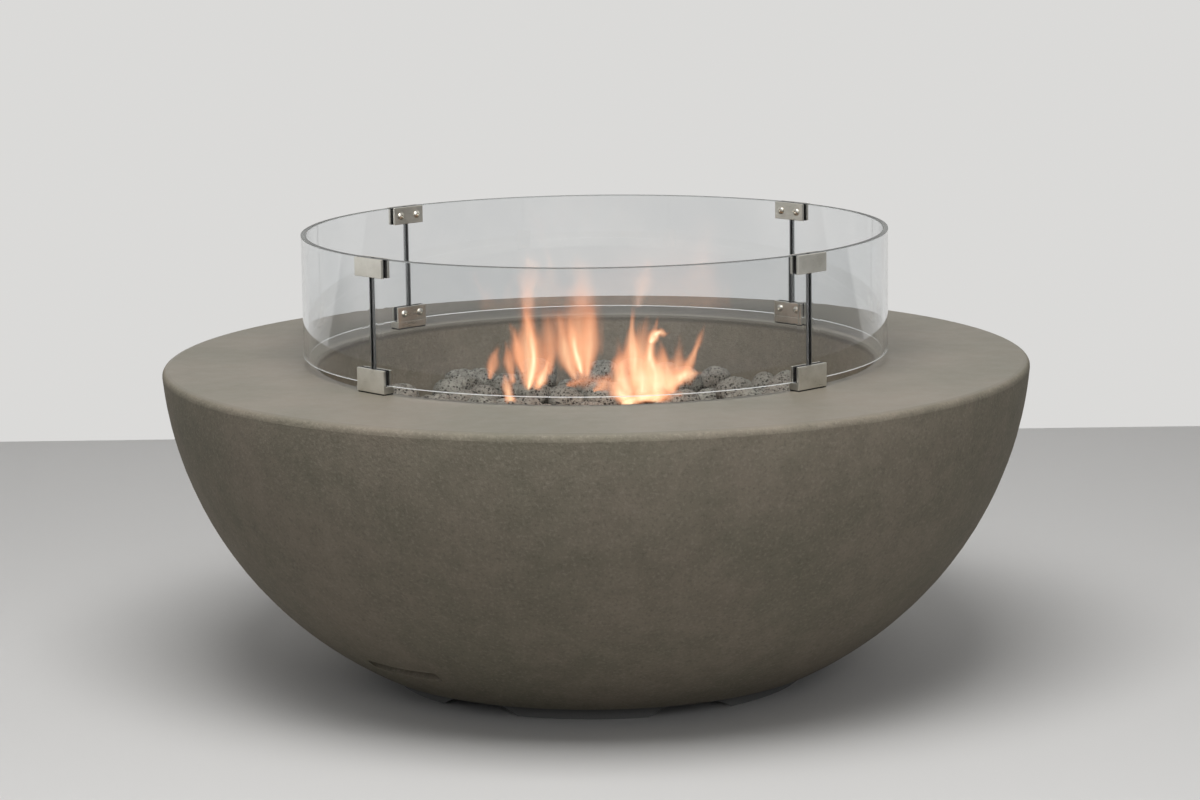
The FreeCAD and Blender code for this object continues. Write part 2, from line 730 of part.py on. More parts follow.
def make_burner_pipes():
    pipe_top = hub_bottom + size.hub_grip
    node(tube("nipple", pipe_radius, size.pipe_bore / 2, pipe_end, pipe_top), "burner_nipple")
    nuts = []
    under_pan = pan_floor - size.locknut_height
    for name, bottom in (("locknut_above", pan_floor_top), ("locknut_below", under_pan)):
        blank = hexagon(f"{name}_blank", size.locknut_width, size.locknut_height, at(z=bottom))
        hole = cylinder(f"{name}_hole", pipe_radius + size.thread_play, size.locknut_height, at(z=bottom))
        nuts.append(cut(name, blank, [hole]))
    node(group("locknuts", nuts), "burner_locknuts")

    mixer_top = pipe_end + size.mixer_grip
    mixer_radius = size.mixer_diameter / 2
    socket = pipe_radius + size.thread_play
    bore = size.pipe_bore / 2
    jet_radius = size.jet_thread / 2 + size.thread_play
    jet_top = mixer_bottom + size.jet_grip
    body = turned("mixer_turned", [
        (jet_radius, mixer_bottom), (mixer_radius, mixer_bottom), (mixer_radius, mixer_top),
        (socket, mixer_top), (socket, pipe_end), (bore, pipe_end), (bore, jet_top), (jet_radius, jet_top)])
    window = (jet_top + pipe_end) / 2
    across = [cylinder(f"air_hole_{number + 1}", size.air_hole_diameter / 2, size.mixer_diameter * 2,
                       at(0, 0, window, Rotation(Vector(0, 0, 1), 90 * number)
                          * Rotation(Vector(1, 0, 0), 90)) * at(z=-size.mixer_diameter))
              for number in range(2)]
    node(cut("mixer_with_air_holes", body, [fused("air_holes", across)]), "air_mixer")


def gas_line_route():
    """The gas line leaves the valve square to its back, and meets the elbow level."""
    start = in_control(-size.valve_offset, 0, valve_back() - size.elbow_reach).Base
    inward = control_frame.Rotation.multVec(Vector(0, 0, -1))
    first_bend = start + inward * float(size.line_run)
    aim = Vector(first_bend.x, first_bend.y, 0).normalize()
    finish = Vector(0, 0, float(elbow_height)) + aim * float(size.elbow_reach)
    last_bend = finish + aim * float(size.line_run)
    return [start, first_bend, last_bend, finish]


def make_gas_line():
    route = gas_line_route()
    start, first_bend, last_bend, finish = route
    aim = Rotation(Vector(0, 0, 1), (finish - Vector(0, 0, finish.z)))
    jet_top = mixer_bottom + size.jet_grip
    block = box("elbow_block", size.elbow_body, size.elbow_body, size.elbow_body,
                Placement(Vector(0, 0, float(mixer_bottom - size.elbow_body)),
                          Rotation(Vector(0, 0, 1), math.degrees(math.atan2(finish.y, finish.x)))))
    upright = cylinder("elbow_screw", size.jet_thread / 2, size.jet_grip, at(z=mixer_bottom))
    outlet = cylinder("elbow_outlet", size.line_diameter / 2, size.elbow_reach, at(0, 0, elbow_height, aim))
    jet = cylinder("elbow_jet", size.jet_bore / 2, jet_top - elbow_height, at(z=elbow_height))
    bore = cylinder("elbow_bore", size.inlet_bore / 2, size.elbow_reach, at(0, 0, elbow_height, aim))
    whole = fused("elbow_blank", [block, upright, outlet])
    node(cut("elbow", whole, [fused("elbow_bores", [jet, bore])]), "orifice_elbow")

    line_radius = size.line_diameter / 2
    bent_tube("burner_gas_line", route, line_radius, size.line_bore / 2, size.line_bend)
    nuts = []
    ends = (("valve_end", start, first_bend), ("burner_end", finish, last_bend))
    for name, face, bend in ends:
        along = bend - face
        place = Placement(face, Rotation(Vector(0, 0, 1), along)) * at(z=-size.line_nut_length / 2)
        blank = hexagon(f"{name}_blank", size.line_nut_width, size.line_nut_length, place)
        hole = cylinder(f"{name}_hole", line_radius + size.thread_play, size.line_nut_length, place)
        nuts.append(cut(f"{name}_nut", blank, [hole]))
    node(group("gas_line_nuts", nuts), "line_nuts")


# Control tray with its valve, knob and igniter, in the tray's frame

def tray_floor():
    return -size.control_recess - size.control_depth


def tray_back():
    return tray_floor() - size.control_sheet


def valve_back():
    return tray_back() - size.valve_length


def make_control_tray():
    flange_back = -size.control_recess - size.control_sheet
    body = doc.addObject("PartDesign::Body", "tray_pressed")
    wide, tall = size.mouth_width / 2, size.mouth_tall / 2
    skin = size.control_sheet

    def slab(name, half_width, half_tall, bottom, top):
        sketch = new_sketch(body, f"{name}_outline", "XY_Plane", bottom)
        draw_outline(sketch, rectangle(-half_width, half_width, -half_tall, half_tall))
        feature = body.newObject("PartDesign::Pad", name)
        feature.Profile = sketch
        bind(feature, Length=top - bottom)

    slab("tray_box", wide + skin, tall + skin, tray_back(), flange_back)
    slab("tray_flange", size.flange_width / 2, size.flange_tall / 2, flange_back, -size.control_recess)

    doc.recompute()
    before = body.Shape.Volume
    sketch = new_sketch(body, "mouth_outline", "XY_Plane", tray_floor())
    draw_outline(sketch, rectangle(-wide, wide, -tall, tall))
    mouth = body.newObject("PartDesign::Pocket", "tray_mouth")
    mouth.Profile = sketch
    mouth.Reversed = True
    bind(mouth, Length=size.control_depth)
    doc.recompute()
    if body.Shape.Volume >= before:
        raise RuntimeError("the tray's mouth cuts nothing")
    inner_round = size.mouth_round - size.control_sheet

    def mouth_corner(edge):
        middle = edge.CenterOfMass
        at_side = abs(abs(middle.x) - float(wide)) < NEAR
        return upright(edge) and at_side and abs(abs(middle.y) - float(tall)) < NEAR

    round_edges(body, "mouth_corners", inner_round, mouth_corner)

    def outer_corner(edge):
        middle = edge.CenterOfMass
        at_side = abs(middle.x) > float(wide + skin) - NEAR
        return upright(edge) and at_side and abs(middle.y) > float(tall + skin) - NEAR

    round_edges(body, "tray_corners", size.mouth_round, outer_corner)
    screw_hole = size.tray_screw_diameter / 2 + size.thread_play
    bore_holes(body, "flange_holes", "XY_Plane", flange_screw_places(), screw_hole, skin, flange_back)
    bore_holes(body, "neck_hole", "XY_Plane", [(-size.valve_offset, 0)],
               size.neck_diameter / 2 + size.thread_play, skin, tray_back())
    bore_holes(body, "igniter_hole", "XY_Plane", [(size.igniter_offset, 0)],
               size.igniter_diameter / 2 + size.thread_play, skin, tray_back())
    body.Placement = control_frame
    node(body, "control_tray")

    shank_length = size.tray_screw_length + size.control_sheet
    screw = pan_head_screw("tray_screw", size.tray_screw_diameter, shank_length,
                           size.tray_screw_head_diameter, size.tray_screw_head_height)
    copies("tray_screws", screw, [in_control(x, y, -size.control_recess) for x, y in flange_screw_places()])


def pan_head_screw(name, diameter, length, head_diameter, head_height):
    """A screw that hangs down from its head, which sits on the XY plane."""
    head = head_diameter / 2
    crown = head * size.head_taper
    shank = rod(f"{name}_shank", diameter / 2, -length, 0)
    cap = turned(f"{name}_cap", [(0, 0), (head, 0), (crown, head_height), (0, head_height)])
    return fused(f"{name}_whole", [shank, cap])


def make_valve():
    x = -size.valve_offset
    back, front = valve_back(), tray_back()
    block = box("valve_block", size.valve_width, size.valve_tall, size.valve_length, in_control(x, 0, back))
    neck = cylinder("valve_neck", size.neck_diameter / 2, size.control_sheet + size.neck_length,
                    in_control(x, 0, front))
    outlet = cylinder("valve_outlet", size.line_diameter / 2, size.elbow_reach,
                      in_control(x, 0, back - size.elbow_reach))
    spindle_hole = cylinder("spindle_hole", size.spindle_diameter / 2 + size.thread_play,
                            size.spindle_depth + plunger_room() + size.control_sheet + size.neck_length,
                            in_control(x, 0, front - size.spindle_depth - plunger_room()))
    outlet_bore = cylinder("outlet_bore", size.inlet_bore / 2, size.elbow_reach,
                           in_control(x, 0, back - size.elbow_reach))
    downward = Rotation(Vector(1, 0, 0), 90)
    inlet_face = in_control(x, -size.valve_tall / 2, front - size.inlet_setback, downward)
    inlet_port = cylinder("inlet_port", size.jet_thread / 2 + size.thread_play, size.port_depth,
                          inlet_face * at(z=-size.port_depth))
    solid = fused("valve_blank", [block, neck, outlet])
    for tool in (spindle_hole, outlet_bore, inlet_port):
        solid = cut(f"valve_less_{tool.Name}", solid, [tool])
    node(solid, "gas_valve_body")

    on_floor = in_control(x, 0, tray_floor())
    blank = hexagon("valve_nut_blank", size.valve_nut_width, size.valve_nut_height, on_floor)
    neck_hole = size.neck_diameter / 2 + size.thread_play
    hole = cylinder("valve_nut_hole", neck_hole, size.valve_nut_height, on_floor)
    node(cut("valve_nut_bored", blank, [hole]), "valve_nut")

    thread = size.inlet_thread / 2
    bore = size.inlet_bore / 2
    tip = size.inlet_hex_length + size.inlet_length
    lip = bore + size.flare_lip
    flare_end = tip + thread - lip
    spigot = turned("inlet_spigot", [
        (bore, -size.port_depth), (size.jet_thread / 2, -size.port_depth), (size.jet_thread / 2, 0),
        (thread, 0), (thread, tip), (lip, flare_end), (bore, flare_end)], inlet_face)
    collar = hexagon("inlet_hexagon", size.inlet_hex, size.inlet_hex_length, inlet_face)
    collar_bore = cylinder("inlet_hexagon_bore", bore, size.inlet_hex_length, inlet_face)
    node(fused("inlet_whole", [spigot, cut("inlet_collar", collar, [collar_bore])]), "gas_inlet_fitting")


def plunger_room():
    """The spindle's bore beyond the spindle: plunger, its travel and some room."""
    return size.spindle_play + size.plunger_length + size.push_travel + size.plunger_room


def make_knob():
    x = -size.valve_offset
    place = in_control(x, 0, tray_floor())
    spindle = size.spindle_diameter / 2
    spindle_foot = -size.control_sheet - size.spindle_depth
    node(rod("spindle_turned", spindle, spindle_foot, size.spindle_reach, place), "valve_spindle")
    plunger_top = spindle_foot - size.spindle_play
    plunger_foot = plunger_top - size.plunger_length
    node(rod("plunger_turned", spindle, plunger_foot, plunger_top, place), "valve_plunger")

    skirt, top = size.knob_lift, size.knob_lift + size.knob_height
    hollow_top = skirt + size.knob_hollow_depth
    radius = size.knob_diameter / 2
    socket_top = size.spindle_reach + size.thread_play
    body = turned("knob_turned", [
        (size.knob_hollow_diameter / 2, skirt), (radius, skirt), (radius, top), (0, top), (0, socket_top),
        (spindle + size.thread_play, socket_top), (spindle + size.thread_play, hollow_top),
        (size.knob_hollow_diameter / 2, hollow_top)], place)

    def top_edge(edge):
        return abs(edge.BoundBox.ZMin - float(top)) < NEAR and edge.BoundBox.XLength > float(radius)

    round_edges(body, "knob_rounding", size.knob_round, top_edge)
    hollow = size.grip_diameter / 2
    hollows = []
    count = int(float(size.grip_count))
    for number in range(count):
        around = Placement(Vector(), Rotation(Vector(0, 0, 1), (number + 0.5) * 360 / count))
        hollow_place = place * around * at(radius - size.grip_depth + hollow, 0, skirt)
        hollows.append(cylinder(f"grip_{number + 1}", hollow, size.knob_height, hollow_place))
    pointer = box("pointer_groove", size.pointer_width, radius, size.knob_height,
                  place * at(0, radius / 2, top - size.pointer_depth))
    node(cut("knob_with_pointer", cut("knob_with_grips", body, hollows), [pointer]), "control_knob")


def make_igniter():
    place = in_control(size.igniter_offset, 0, tray_floor())
    outer = size.igniter_diameter / 2
    bore = size.button_diameter / 2 + size.button_play
    cell_bore = size.battery_diameter / 2 + size.battery_play
    button_foot = size.bezel_height + size.button_stand - size.button_length
    button_floor = button_foot - size.button_travel - size.button_room
    cell_top = button_floor - size.battery_play
    cell_foot = cell_top - size.battery_length
    back = -size.control_sheet - size.igniter_length
    node(turned("igniter_turned", [
        (0, back), (outer, back), (outer, 0), (size.bezel_diameter / 2, 0),
        (size.bezel_diameter / 2, size.bezel_height), (bore, size.bezel_height), (bore, button_floor),
        (cell_bore, button_floor), (cell_bore, cell_foot - size.battery_play),
        (0, cell_foot - size.battery_play)], place), "igniter_body")
    node(tube("igniter_nut_turned", size.igniter_nut_diameter / 2, outer + size.thread_play,
              -size.control_sheet - size.igniter_nut_height, -size.control_sheet, place), "igniter_nut")
    node(rod("cell_turned", size.battery_diameter / 2, cell_foot, cell_top, place), "igniter_battery")
    button_top = button_foot + size.button_length
    body = rod("button_turned", size.button_diameter / 2, button_foot, button_top, place)

    def top_edge(edge):
        return abs(edge.BoundBox.ZMin - float(button_top)) < NEAR

    round_edges(body, "button_rounding", size.button_round, top_edge)
    node(body, "igniter_button")


# Pilot: bracket, spark electrode, thermocouple and their leads

def bracket_screw_side():
    return size.bracket_width / 2 - size.bracket_screw_diameter


def make_pilot():
    centre = Placement(pilot_point(0, pan_floor_top), control_turn)
    sheet_steel = size.pan_sheet
    foot = box("bracket_foot", size.bracket_width, size.bracket_deep, sheet_steel, centre)
    guard = box("bracket_guard", size.bracket_width, sheet_steel, size.bracket_tall,
                centre * at(0, -(size.bracket_deep - sheet_steel) / 2, 0))
    insulator = size.insulator_diameter / 2
    probe = size.probe_diameter / 2
    screw = size.bracket_screw_diameter / 2
    tapped = screw + size.thread_play
    holes = [(-size.pilot_spread, probe + size.probe_play),
             (size.pilot_spread, insulator + size.probe_play),
             (-bracket_screw_side(), tapped),
             (bracket_screw_side(), tapped)]
    tools = []
    for number, (x, radius) in enumerate(holes):
        place = centre * at(x, 0, -sheet_steel)
        tools.append(cylinder(f"bracket_hole_{number + 1}", radius, sheet_steel * 3, place))
    node(cut("bracket_bored", fused("bracket_bent", [foot, guard]), tools), "pilot_bracket")

    fastener = pan_head_screw("bracket_screw", size.bracket_screw_diameter, size.bracket_screw_length,
                              size.bracket_screw_head_diameter, size.bracket_screw_head_height)
    copies("bracket_screws", fastener,
           [centre * at(x, 0, sheet_steel) for x in (-bracket_screw_side(), bracket_screw_side())])

    collar, collar_top = size.collar_diameter / 2, sheet_steel + size.collar_height
    wire = size.electrode_diameter / 2
    foot_of_probe = -sheet_steel - size.probe_drop
    spark = centre * at(size.pilot_spread, 0, 0)
    inner = wire + size.thread_play
    node(turned("insulator_turned", [
        (inner, foot_of_probe), (insulator, foot_of_probe), (insulator, sheet_steel), (collar, sheet_steel),
        (collar, collar_top), (insulator, collar_top), (insulator, size.insulator_rise),
        (inner, size.insulator_rise)], spark), "electrode_insulator")
    node(rod("electrode_turned", wire, foot_of_probe, size.insulator_rise + size.electrode_tip, spark),
         "electrode_rod")
    node(turned("probe_turned", [
        (0, foot_of_probe), (probe, foot_of_probe), (probe, sheet_steel), (collar, sheet_steel),
        (collar, collar_top), (probe, collar_top), (probe, size.probe_rise), (0, size.probe_rise)],
        centre * at(-size.pilot_spread, 0, 0)), "thermocouple")

    # Leads leave the igniter and the valve square to their back faces and rise into the pilot from below.
    probe_end = pan_floor_top + foot_of_probe
    inward = control_frame.Rotation.multVec(Vector(0, 0, -1))
    run = float(size.lead_run)
    rise = float(size.lead_rise)
    igniter_back = in_control(size.igniter_offset, 0, tray_back() - size.igniter_length).Base
    spark_end = pilot_point(size.pilot_spread, probe_end)
    spark_below = spark_end - Vector(0, 0, rise)
    bent_tube("ignition_lead", [igniter_back, igniter_back + inward * run, spark_below, spark_end],
              size.lead_diameter / 2, None, size.lead_bend)
    port_side = -size.valve_offset - size.probe_port_side
    probe_port = in_control(port_side, size.probe_port_up, valve_back()).Base
    probe_foot = pilot_point(-size.pilot_spread, probe_end)
    probe_below = probe_foot - Vector(0, 0, rise)
    bent_tube("thermocouple_lead", [probe_port, probe_port + inward * run, probe_below, probe_foot],
              size.probe_lead_diameter / 2, None, size.lead_bend)


# Lava stones, laid one by one where each comes to lie lowest

def lay_stones():
    """Centres and half widths of the stones.

    Heights are divided by the flatness, so that stones are balls.
    """
    flat = float(size.stone_flatness)
    gap = float(size.stone_gap)
    wall = float(opening_radius) - gap
    largest, step = float(size.stone_size), float(size.stone_step)
    half_widths = [(largest - number * step) / 2 for number in range(STONE_CLASSES)]
    edge = float(tray_radius - size.pan_sheet)
    shelf, floor = float(pan_top) / flat, float(pan_floor_top) / flat
    limit = float(size.bowl_height - size.stone_bed_drop) / flat
    ring_height = float(tube_middle) / flat
    tube_half, tube_tall = float(tube_radius), float(tube_radius) / flat
    hub_top, hub_radius = float(hub_bottom + size.hub_height) / flat, float(size.hub_diameter) / 2
    pilot = pilot_point(0, 0)

    def over_tube(away, half):
        """A stone's height over the tube's middle, where its centre lies this far to the side.

        Divided by the flatness the tube is an ellipse. Halving finds the slope at which the two touch.
        """
        low, high = 0.0, 1.0
        for _ in range(HALVINGS):
            lean = (low + high) / 2
            rise = math.sqrt(1 - lean ** 2)
            reach = math.hypot(tube_half * lean, tube_tall * rise)
            if tube_half ** 2 * lean / reach + (half + gap) * lean < away:
                low = lean
            else:
                high = lean
        return tube_tall ** 2 * rise / reach + (half + gap) * rise

    def over_edge(away, half):
        return math.sqrt((half + gap) ** 2 - away ** 2)

    def resting(x, y, half):
        """The lowest centre of a stone over the pan and the burner, or None where it can't lie."""
        out = math.hypot(x, y)
        if out + half > wall:
            return None
        if math.hypot(x - pilot.x, y - pilot.y) < half + float(size.pilot_clear):
            return None
        height = (shelf if out > edge else floor) + half + gap
        if 0 <= edge - out < half + gap:
            height = max(height, shelf + over_edge(edge - out, half))
        near = half + gap + tube_half
        for away in (abs(out - float(ring_radius)), abs(y) if abs(x) < float(ring_radius) else near):
            if away < near:
                height = max(height, ring_height + over_tube(away, half))
        from_hub = max(0, out - hub_radius)
        if from_hub < half + gap:
            height = max(height, hub_top + over_edge(from_hub, half))
        return height

    places = []
    for number in range(STONE_PLACES):
        out = wall * math.sqrt((number + 0.5) / STONE_PLACES)
        places.append((out * math.cos(number * GOLDEN_ANGLE), out * math.sin(number * GOLDEN_ANGLE)))
    heights = [[resting(x, y, half) for x, y in places] for half in half_widths]
    stones = []
    full = set()
    turn = 0
    while len(full) < STONE_CLASSES:
        chosen = int(STONE_CLASSES * ((turn * GOLDEN_SHARE) % 1))
        turn += 1
        if chosen in full:
            continue
        half = half_widths[chosen]
        levels = [(level, spot) for spot, level in enumerate(heights[chosen]) if level is not None]
        height, number = min(levels)
        if height + half > limit:
            full.add(chosen)
            continue
        x, y = places[number]
        stones.append((x, y, height * flat, half))
        for other, other_half in enumerate(half_widths):
            near = half + other_half + gap
            for spot, (px, py) in enumerate(places):
                away = (px - x) ** 2 + (py - y) ** 2
                if heights[other][spot] is not None and away < near ** 2:
                    heights[other][spot] = max(heights[other][spot], height + math.sqrt(near ** 2 - away))
    return stones


def make_lava_rocks():
    squeeze = Matrix()
    squeeze.scale(1, 1, float(size.stone_flatness))
    blanks = {}
    solids = []
    for x, y, z, half in lay_stones():
        if half not in blanks:
            blanks[half] = Part.makeSphere(half).transformGeometry(squeeze)
        solids.append(blanks[half].translated(Vector(x, y, z)))
    print("lava stones:", len(solids))
    made = doc.addObject("Part::Feature", "stones")
    made.Shape = Part.makeCompound(solids)
    node(made, "lava_rocks")


# Wind guard: glass panels and clips

glass_radius = size.glass_diameter / 2
glass_inside = glass_radius - size.glass_thickness
clip_bottom = size.bowl_height + size.foot_pad
clip_floor_top = clip_bottom + size.clip_floor
glass_bottom = clip_floor_top + size.seat_pad
glass_top = glass_bottom + size.glass_height
clip_top = clip_floor_top + size.lower_clip_tall
upper_clip_bottom = glass_top - size.upper_clip_tall
outer_wall = glass_radius + size.liner
chord_inside = math.sqrt(float(glass_inside) ** 2 - float(size.clip_width) ** 2 / 4)
inner_wall = chord_inside - size.liner
inner_face = inner_wall - size.clip_plate
clip_depth = outer_wall + size.clip_plate - inner_face
screw_side = size.screw_spacing / 2
upper_screw_height = glass_top - size.upper_clip_tall / 2
lower_screw_height = (glass_bottom + clip_top) / 2


def corner_azimuth(number):
    return float(size.joint_azimuth) + 90 * number


def at_corner(number, outward, sideways=0, height=0):
    """A place at a joint of the glass: X along the glass, -Y outward."""
    return Placement(Vector(), turned_to(corner_azimuth(number))) * at(sideways, -as_size(outward), height)


def screw_axis(number, outward, sideways, height):
    """A place whose Z points inward along a clip screw."""
    return at_corner(number, outward, sideways, height) * at(rotation=Rotation(Vector(1, 0, 0), -90))


def make_glass():
    gap_angle = math.degrees(float(size.panel_gap) / float(glass_radius - size.glass_thickness / 2))
    outside_holes = glass_radius + size.glass_thickness
    for number, side in enumerate(PANELS):
        start = corner_azimuth(number) - 90 + gap_angle / 2
        outside = cylinder(f"{side}_outside", glass_radius, size.glass_height,
                           at(z=glass_bottom, rotation=Rotation(Vector(0, 0, 1), start)))
        outside.Angle = 90 - gap_angle
        inside = cylinder(f"{side}_inside", glass_inside, size.glass_height, at(z=glass_bottom))
        holes = []
        for corner, sideways in ((number, screw_side), ((number + 1) % len(PANELS), -screw_side)):
            for level, height in (("lower", lower_screw_height), ("upper", upper_screw_height)):
                place = screw_axis(corner, outside_holes, sideways, height)
                holes.append(cylinder(f"{side}_{level}_hole_{corner + 1}", size.glass_hole / 2,
                                      size.glass_thickness * 4, place))
        curved = cut(f"{side}_curved", outside, [inside])
        node(cut(f"{side}_drilled", curved, holes), f"glass_panel_{side}")


def clip_plate(name, tall, screw_height):
    """A flat plate on the XZ plane, from the plane outward, with its screw holes still to come."""
    body = doc.addObject("PartDesign::Body", name)
    half = size.clip_width / 2
    pad(body, f"{name}_plate", "XZ_Plane", rectangle(-half, half, 0, tall), size.clip_plate)
    round_edges(body, f"{name}_edges", size.clip_round, lambda edge: True)
    return body, [(-screw_side, screw_height), (screw_side, screw_height)]


def make_clips():
    clear = size.screw_diameter / 2 + size.screw_play
    tapped = size.screw_diameter / 2 + size.thread_play
    half = size.clip_width / 2
    upper_hole = upper_screw_height - upper_clip_bottom
    lower_hole = lower_screw_height - clip_floor_top
    for number, corner in enumerate(CORNERS):
        body, screws = clip_plate(f"upper_outer_{corner}", size.upper_clip_tall, upper_hole)
        bore_holes(body, f"upper_outer_taps_{corner}", "XZ_Plane", screws, tapped, size.screw_bite)
        body.Placement = at_corner(number, outer_wall, 0, upper_clip_bottom)
        node(body, f"upper_clip_outer_plate_{corner}")

        body, screws = clip_plate(f"upper_inner_{corner}", size.upper_clip_tall, upper_hole)
        bore_holes(body, f"upper_inner_holes_{corner}", "XZ_Plane", screws, clear, size.clip_plate)
        body.Placement = at_corner(number, inner_face, 0, upper_clip_bottom)
        node(body, f"upper_clip_inner_plate_{corner}")

        body, screws = clip_plate(f"lower_inner_{corner}", size.lower_clip_tall, lower_hole)
        bore_holes(body, f"lower_inner_holes_{corner}", "XZ_Plane", screws, clear, size.clip_plate)
        body.Placement = at_corner(number, inner_face, 0, clip_floor_top)
        node(body, f"lower_clip_inner_plate_{corner}")

        body = doc.addObject("PartDesign::Body", f"lower_body_{corner}")
        wall = outer_wall - inner_face
        profile = [(as_size(0), as_size(0)), (-clip_depth, as_size(0)),
                   (-clip_depth, clip_top - clip_bottom), (-wall, clip_top - clip_bottom),
                   (-wall, size.clip_floor), (as_size(0), size.clip_floor)]
        pad(body, f"lower_body_{corner}_block", "YZ_Plane", profile, size.clip_width, middle=True)

        def outer_edge(edge):
            middle = edge.CenterOfMass
            on_end = abs(abs(middle.x) - float(half)) < NEAR
            on_face = abs(middle.y + float(clip_depth)) < NEAR or abs(middle.y) < NEAR
            return on_end or on_face or middle.z > float(clip_top - clip_bottom) - NEAR

        round_edges(body, f"lower_body_{corner}_edges", size.clip_round, outer_edge)
        bore_holes(body, f"lower_body_taps_{corner}", "XZ_Plane",
                   [(x, lower_screw_height - clip_bottom) for x in (-screw_side, screw_side)],
                   tapped, size.screw_bite, wall)
        body.Placement = at_corner(number, inner_face, 0, clip_bottom)
        node(body, f"lower_clip_body_{corner}")


def make_clip_rubber():
    gap = outer_wall - inner_wall
    middle = (outer_wall + inner_wall) / 2
    upper, lower, feet = [], [], []
    for number, corner in enumerate(CORNERS):
        for level, bottom, top, screw_height, kept in (
                ("upper", upper_clip_bottom, glass_top, upper_screw_height, upper),
                ("lower", clip_floor_top, clip_top, lower_screw_height, lower)):
            name = f"{level}_rubber_{corner}"
            blank = box(f"{name}_blank", size.clip_width - 2 * size.clip_round, gap, top - bottom,
                        at_corner(number, middle, 0, bottom))
            on_seat = at(z=glass_bottom)
            ring_outside = cylinder(f"{name}_ring_outside", glass_radius, size.glass_height, on_seat)
            ring_inside = cylinder(f"{name}_ring_inside", glass_inside, size.glass_height, on_seat)
            ring = cut(f"{name}_ring", ring_outside, [ring_inside])
            holes = [cylinder(f"{name}_hole_{sign}", size.screw_diameter / 2 + size.screw_play, gap * 3,
                              screw_axis(number, middle + gap * 1.5, screw_side * sign, screw_height))
                     for sign in (-1, 1)]
            kept.append(cut(f"{name}_drilled", cut(name, blank, [ring]), holes))
        feet.append(box(f"foot_pad_{corner}", size.clip_width - 2 * size.foot_pad_margin,
                        clip_depth - 2 * size.foot_pad_margin, size.foot_pad,
                        at_corner(number, inner_face + clip_depth / 2, 0, size.bowl_height)))
    node(group("upper_rubber", upper), "upper_clip_pads")
    node(group("lower_rubber", lower), "lower_clip_liners")
    node(group("foot_rubber", feet), "guard_foot_pads")


def make_clip_screws():
    shank = size.screw_diameter / 2
    head = size.screw_head_diameter / 2
    length = outer_wall - inner_face + size.screw_bite - size.thread_play
    crown, rim_height = size.screw_head_height, size.screw_rim_height
    dome_rise = crown - rim_height
    dome = (head * head + dome_rise * dome_rise) / (2 * dome_rise)
    half_way = float(head) / 2
    near = Vector(half_way, float(crown - dome) + math.sqrt(float(dome) ** 2 - half_way ** 2), 0)
    dome_side = 4
    outline = [(0, -length), (shank, -length), (shank, 0), (head, 0), (head, rim_height), (0, crown)]
    body = turned("clip_screw", outline, arcs={dome_side: (dome, near)})
    socket_foot = at(z=crown - size.socket_depth)
    socket = hexagon("clip_screw_socket", size.socket_width, size.socket_depth * 2, socket_foot)
    whole = cut("clip_screw_whole", body, [socket])
    for level, height in (("upper", upper_screw_height), ("lower", lower_screw_height)):
        copies(f"{level}_clip_screws", whole,
               [screw_axis(number, inner_face, screw_side * sign, height)
                for number in range(len(CORNERS)) for sign in (-1, 1)])


make_bowl_shell()
make_burner_pan()
make_burner_ring()
make_burner_pipes()
make_gas_line()
make_control_tray()
make_valve()
make_knob()
make_igniter()
make_pilot()
make_lava_rocks()
make_glass()
make_clips()
make_clip_rubber()
make_clip_screws()
doc.recompute()

# Every feature has to be whole before anything is written

for thing in doc.Objects:
    if "Invalid" in thing.State or "Error" in thing.State:
        raise RuntimeError(f"{thing.Label} failed: {thing.State}")
for thing in nodes:
    if thing.Shape.isNull() or not thing.Shape.isValid():
        raise RuntimeError(f"{thing.Label} has no valid shape")

os.makedirs("parts", exist_ok=True)
for thing in nodes:
    thing.Shape.exportStep(os.path.join("parts", f"{thing.Label}.step"))
print("sub-parts:", len(nodes))
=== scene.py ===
# %% [markdown]
# A lit gas fire bowl
#
# The bowl is cast in olive-grey concrete. A bed of tumbled lava stones lies in its well, a gas flame
# stands over the stones, and four curved panes of glass in steel clips keep the wind away.
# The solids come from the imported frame, which is already at its real size. Each cell below either gives
# a solid its finish or replaces it with a mesh that shows more than a solid can.

# %% Load the frame
import json
import math

import bmesh
import bpy
from mathutils import Matrix, Vector, noise


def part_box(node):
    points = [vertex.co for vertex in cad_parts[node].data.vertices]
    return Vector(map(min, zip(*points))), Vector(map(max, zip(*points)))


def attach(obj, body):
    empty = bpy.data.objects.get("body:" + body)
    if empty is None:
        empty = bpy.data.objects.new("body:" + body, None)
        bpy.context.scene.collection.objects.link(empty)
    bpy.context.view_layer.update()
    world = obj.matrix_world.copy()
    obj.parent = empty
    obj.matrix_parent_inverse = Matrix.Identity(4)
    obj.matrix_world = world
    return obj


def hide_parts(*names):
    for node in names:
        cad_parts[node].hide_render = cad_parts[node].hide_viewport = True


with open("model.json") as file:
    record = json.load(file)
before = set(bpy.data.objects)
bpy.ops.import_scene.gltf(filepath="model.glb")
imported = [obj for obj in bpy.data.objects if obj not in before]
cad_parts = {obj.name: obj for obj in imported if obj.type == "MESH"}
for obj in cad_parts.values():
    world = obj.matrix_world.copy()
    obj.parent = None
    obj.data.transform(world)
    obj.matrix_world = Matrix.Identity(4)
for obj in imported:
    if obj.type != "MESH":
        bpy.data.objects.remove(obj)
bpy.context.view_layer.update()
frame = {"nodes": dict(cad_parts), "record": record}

nodes = frame["nodes"]
scene = bpy.context.scene
rim_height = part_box("bowl_shell")[1].z
glass_low, glass_high = (corner.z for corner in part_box("glass_panel_front"))
print(f"{len(nodes)} solids, rim {rim_height:.3f} m high, glass from {glass_low:.3f} to {glass_high:.3f} m")

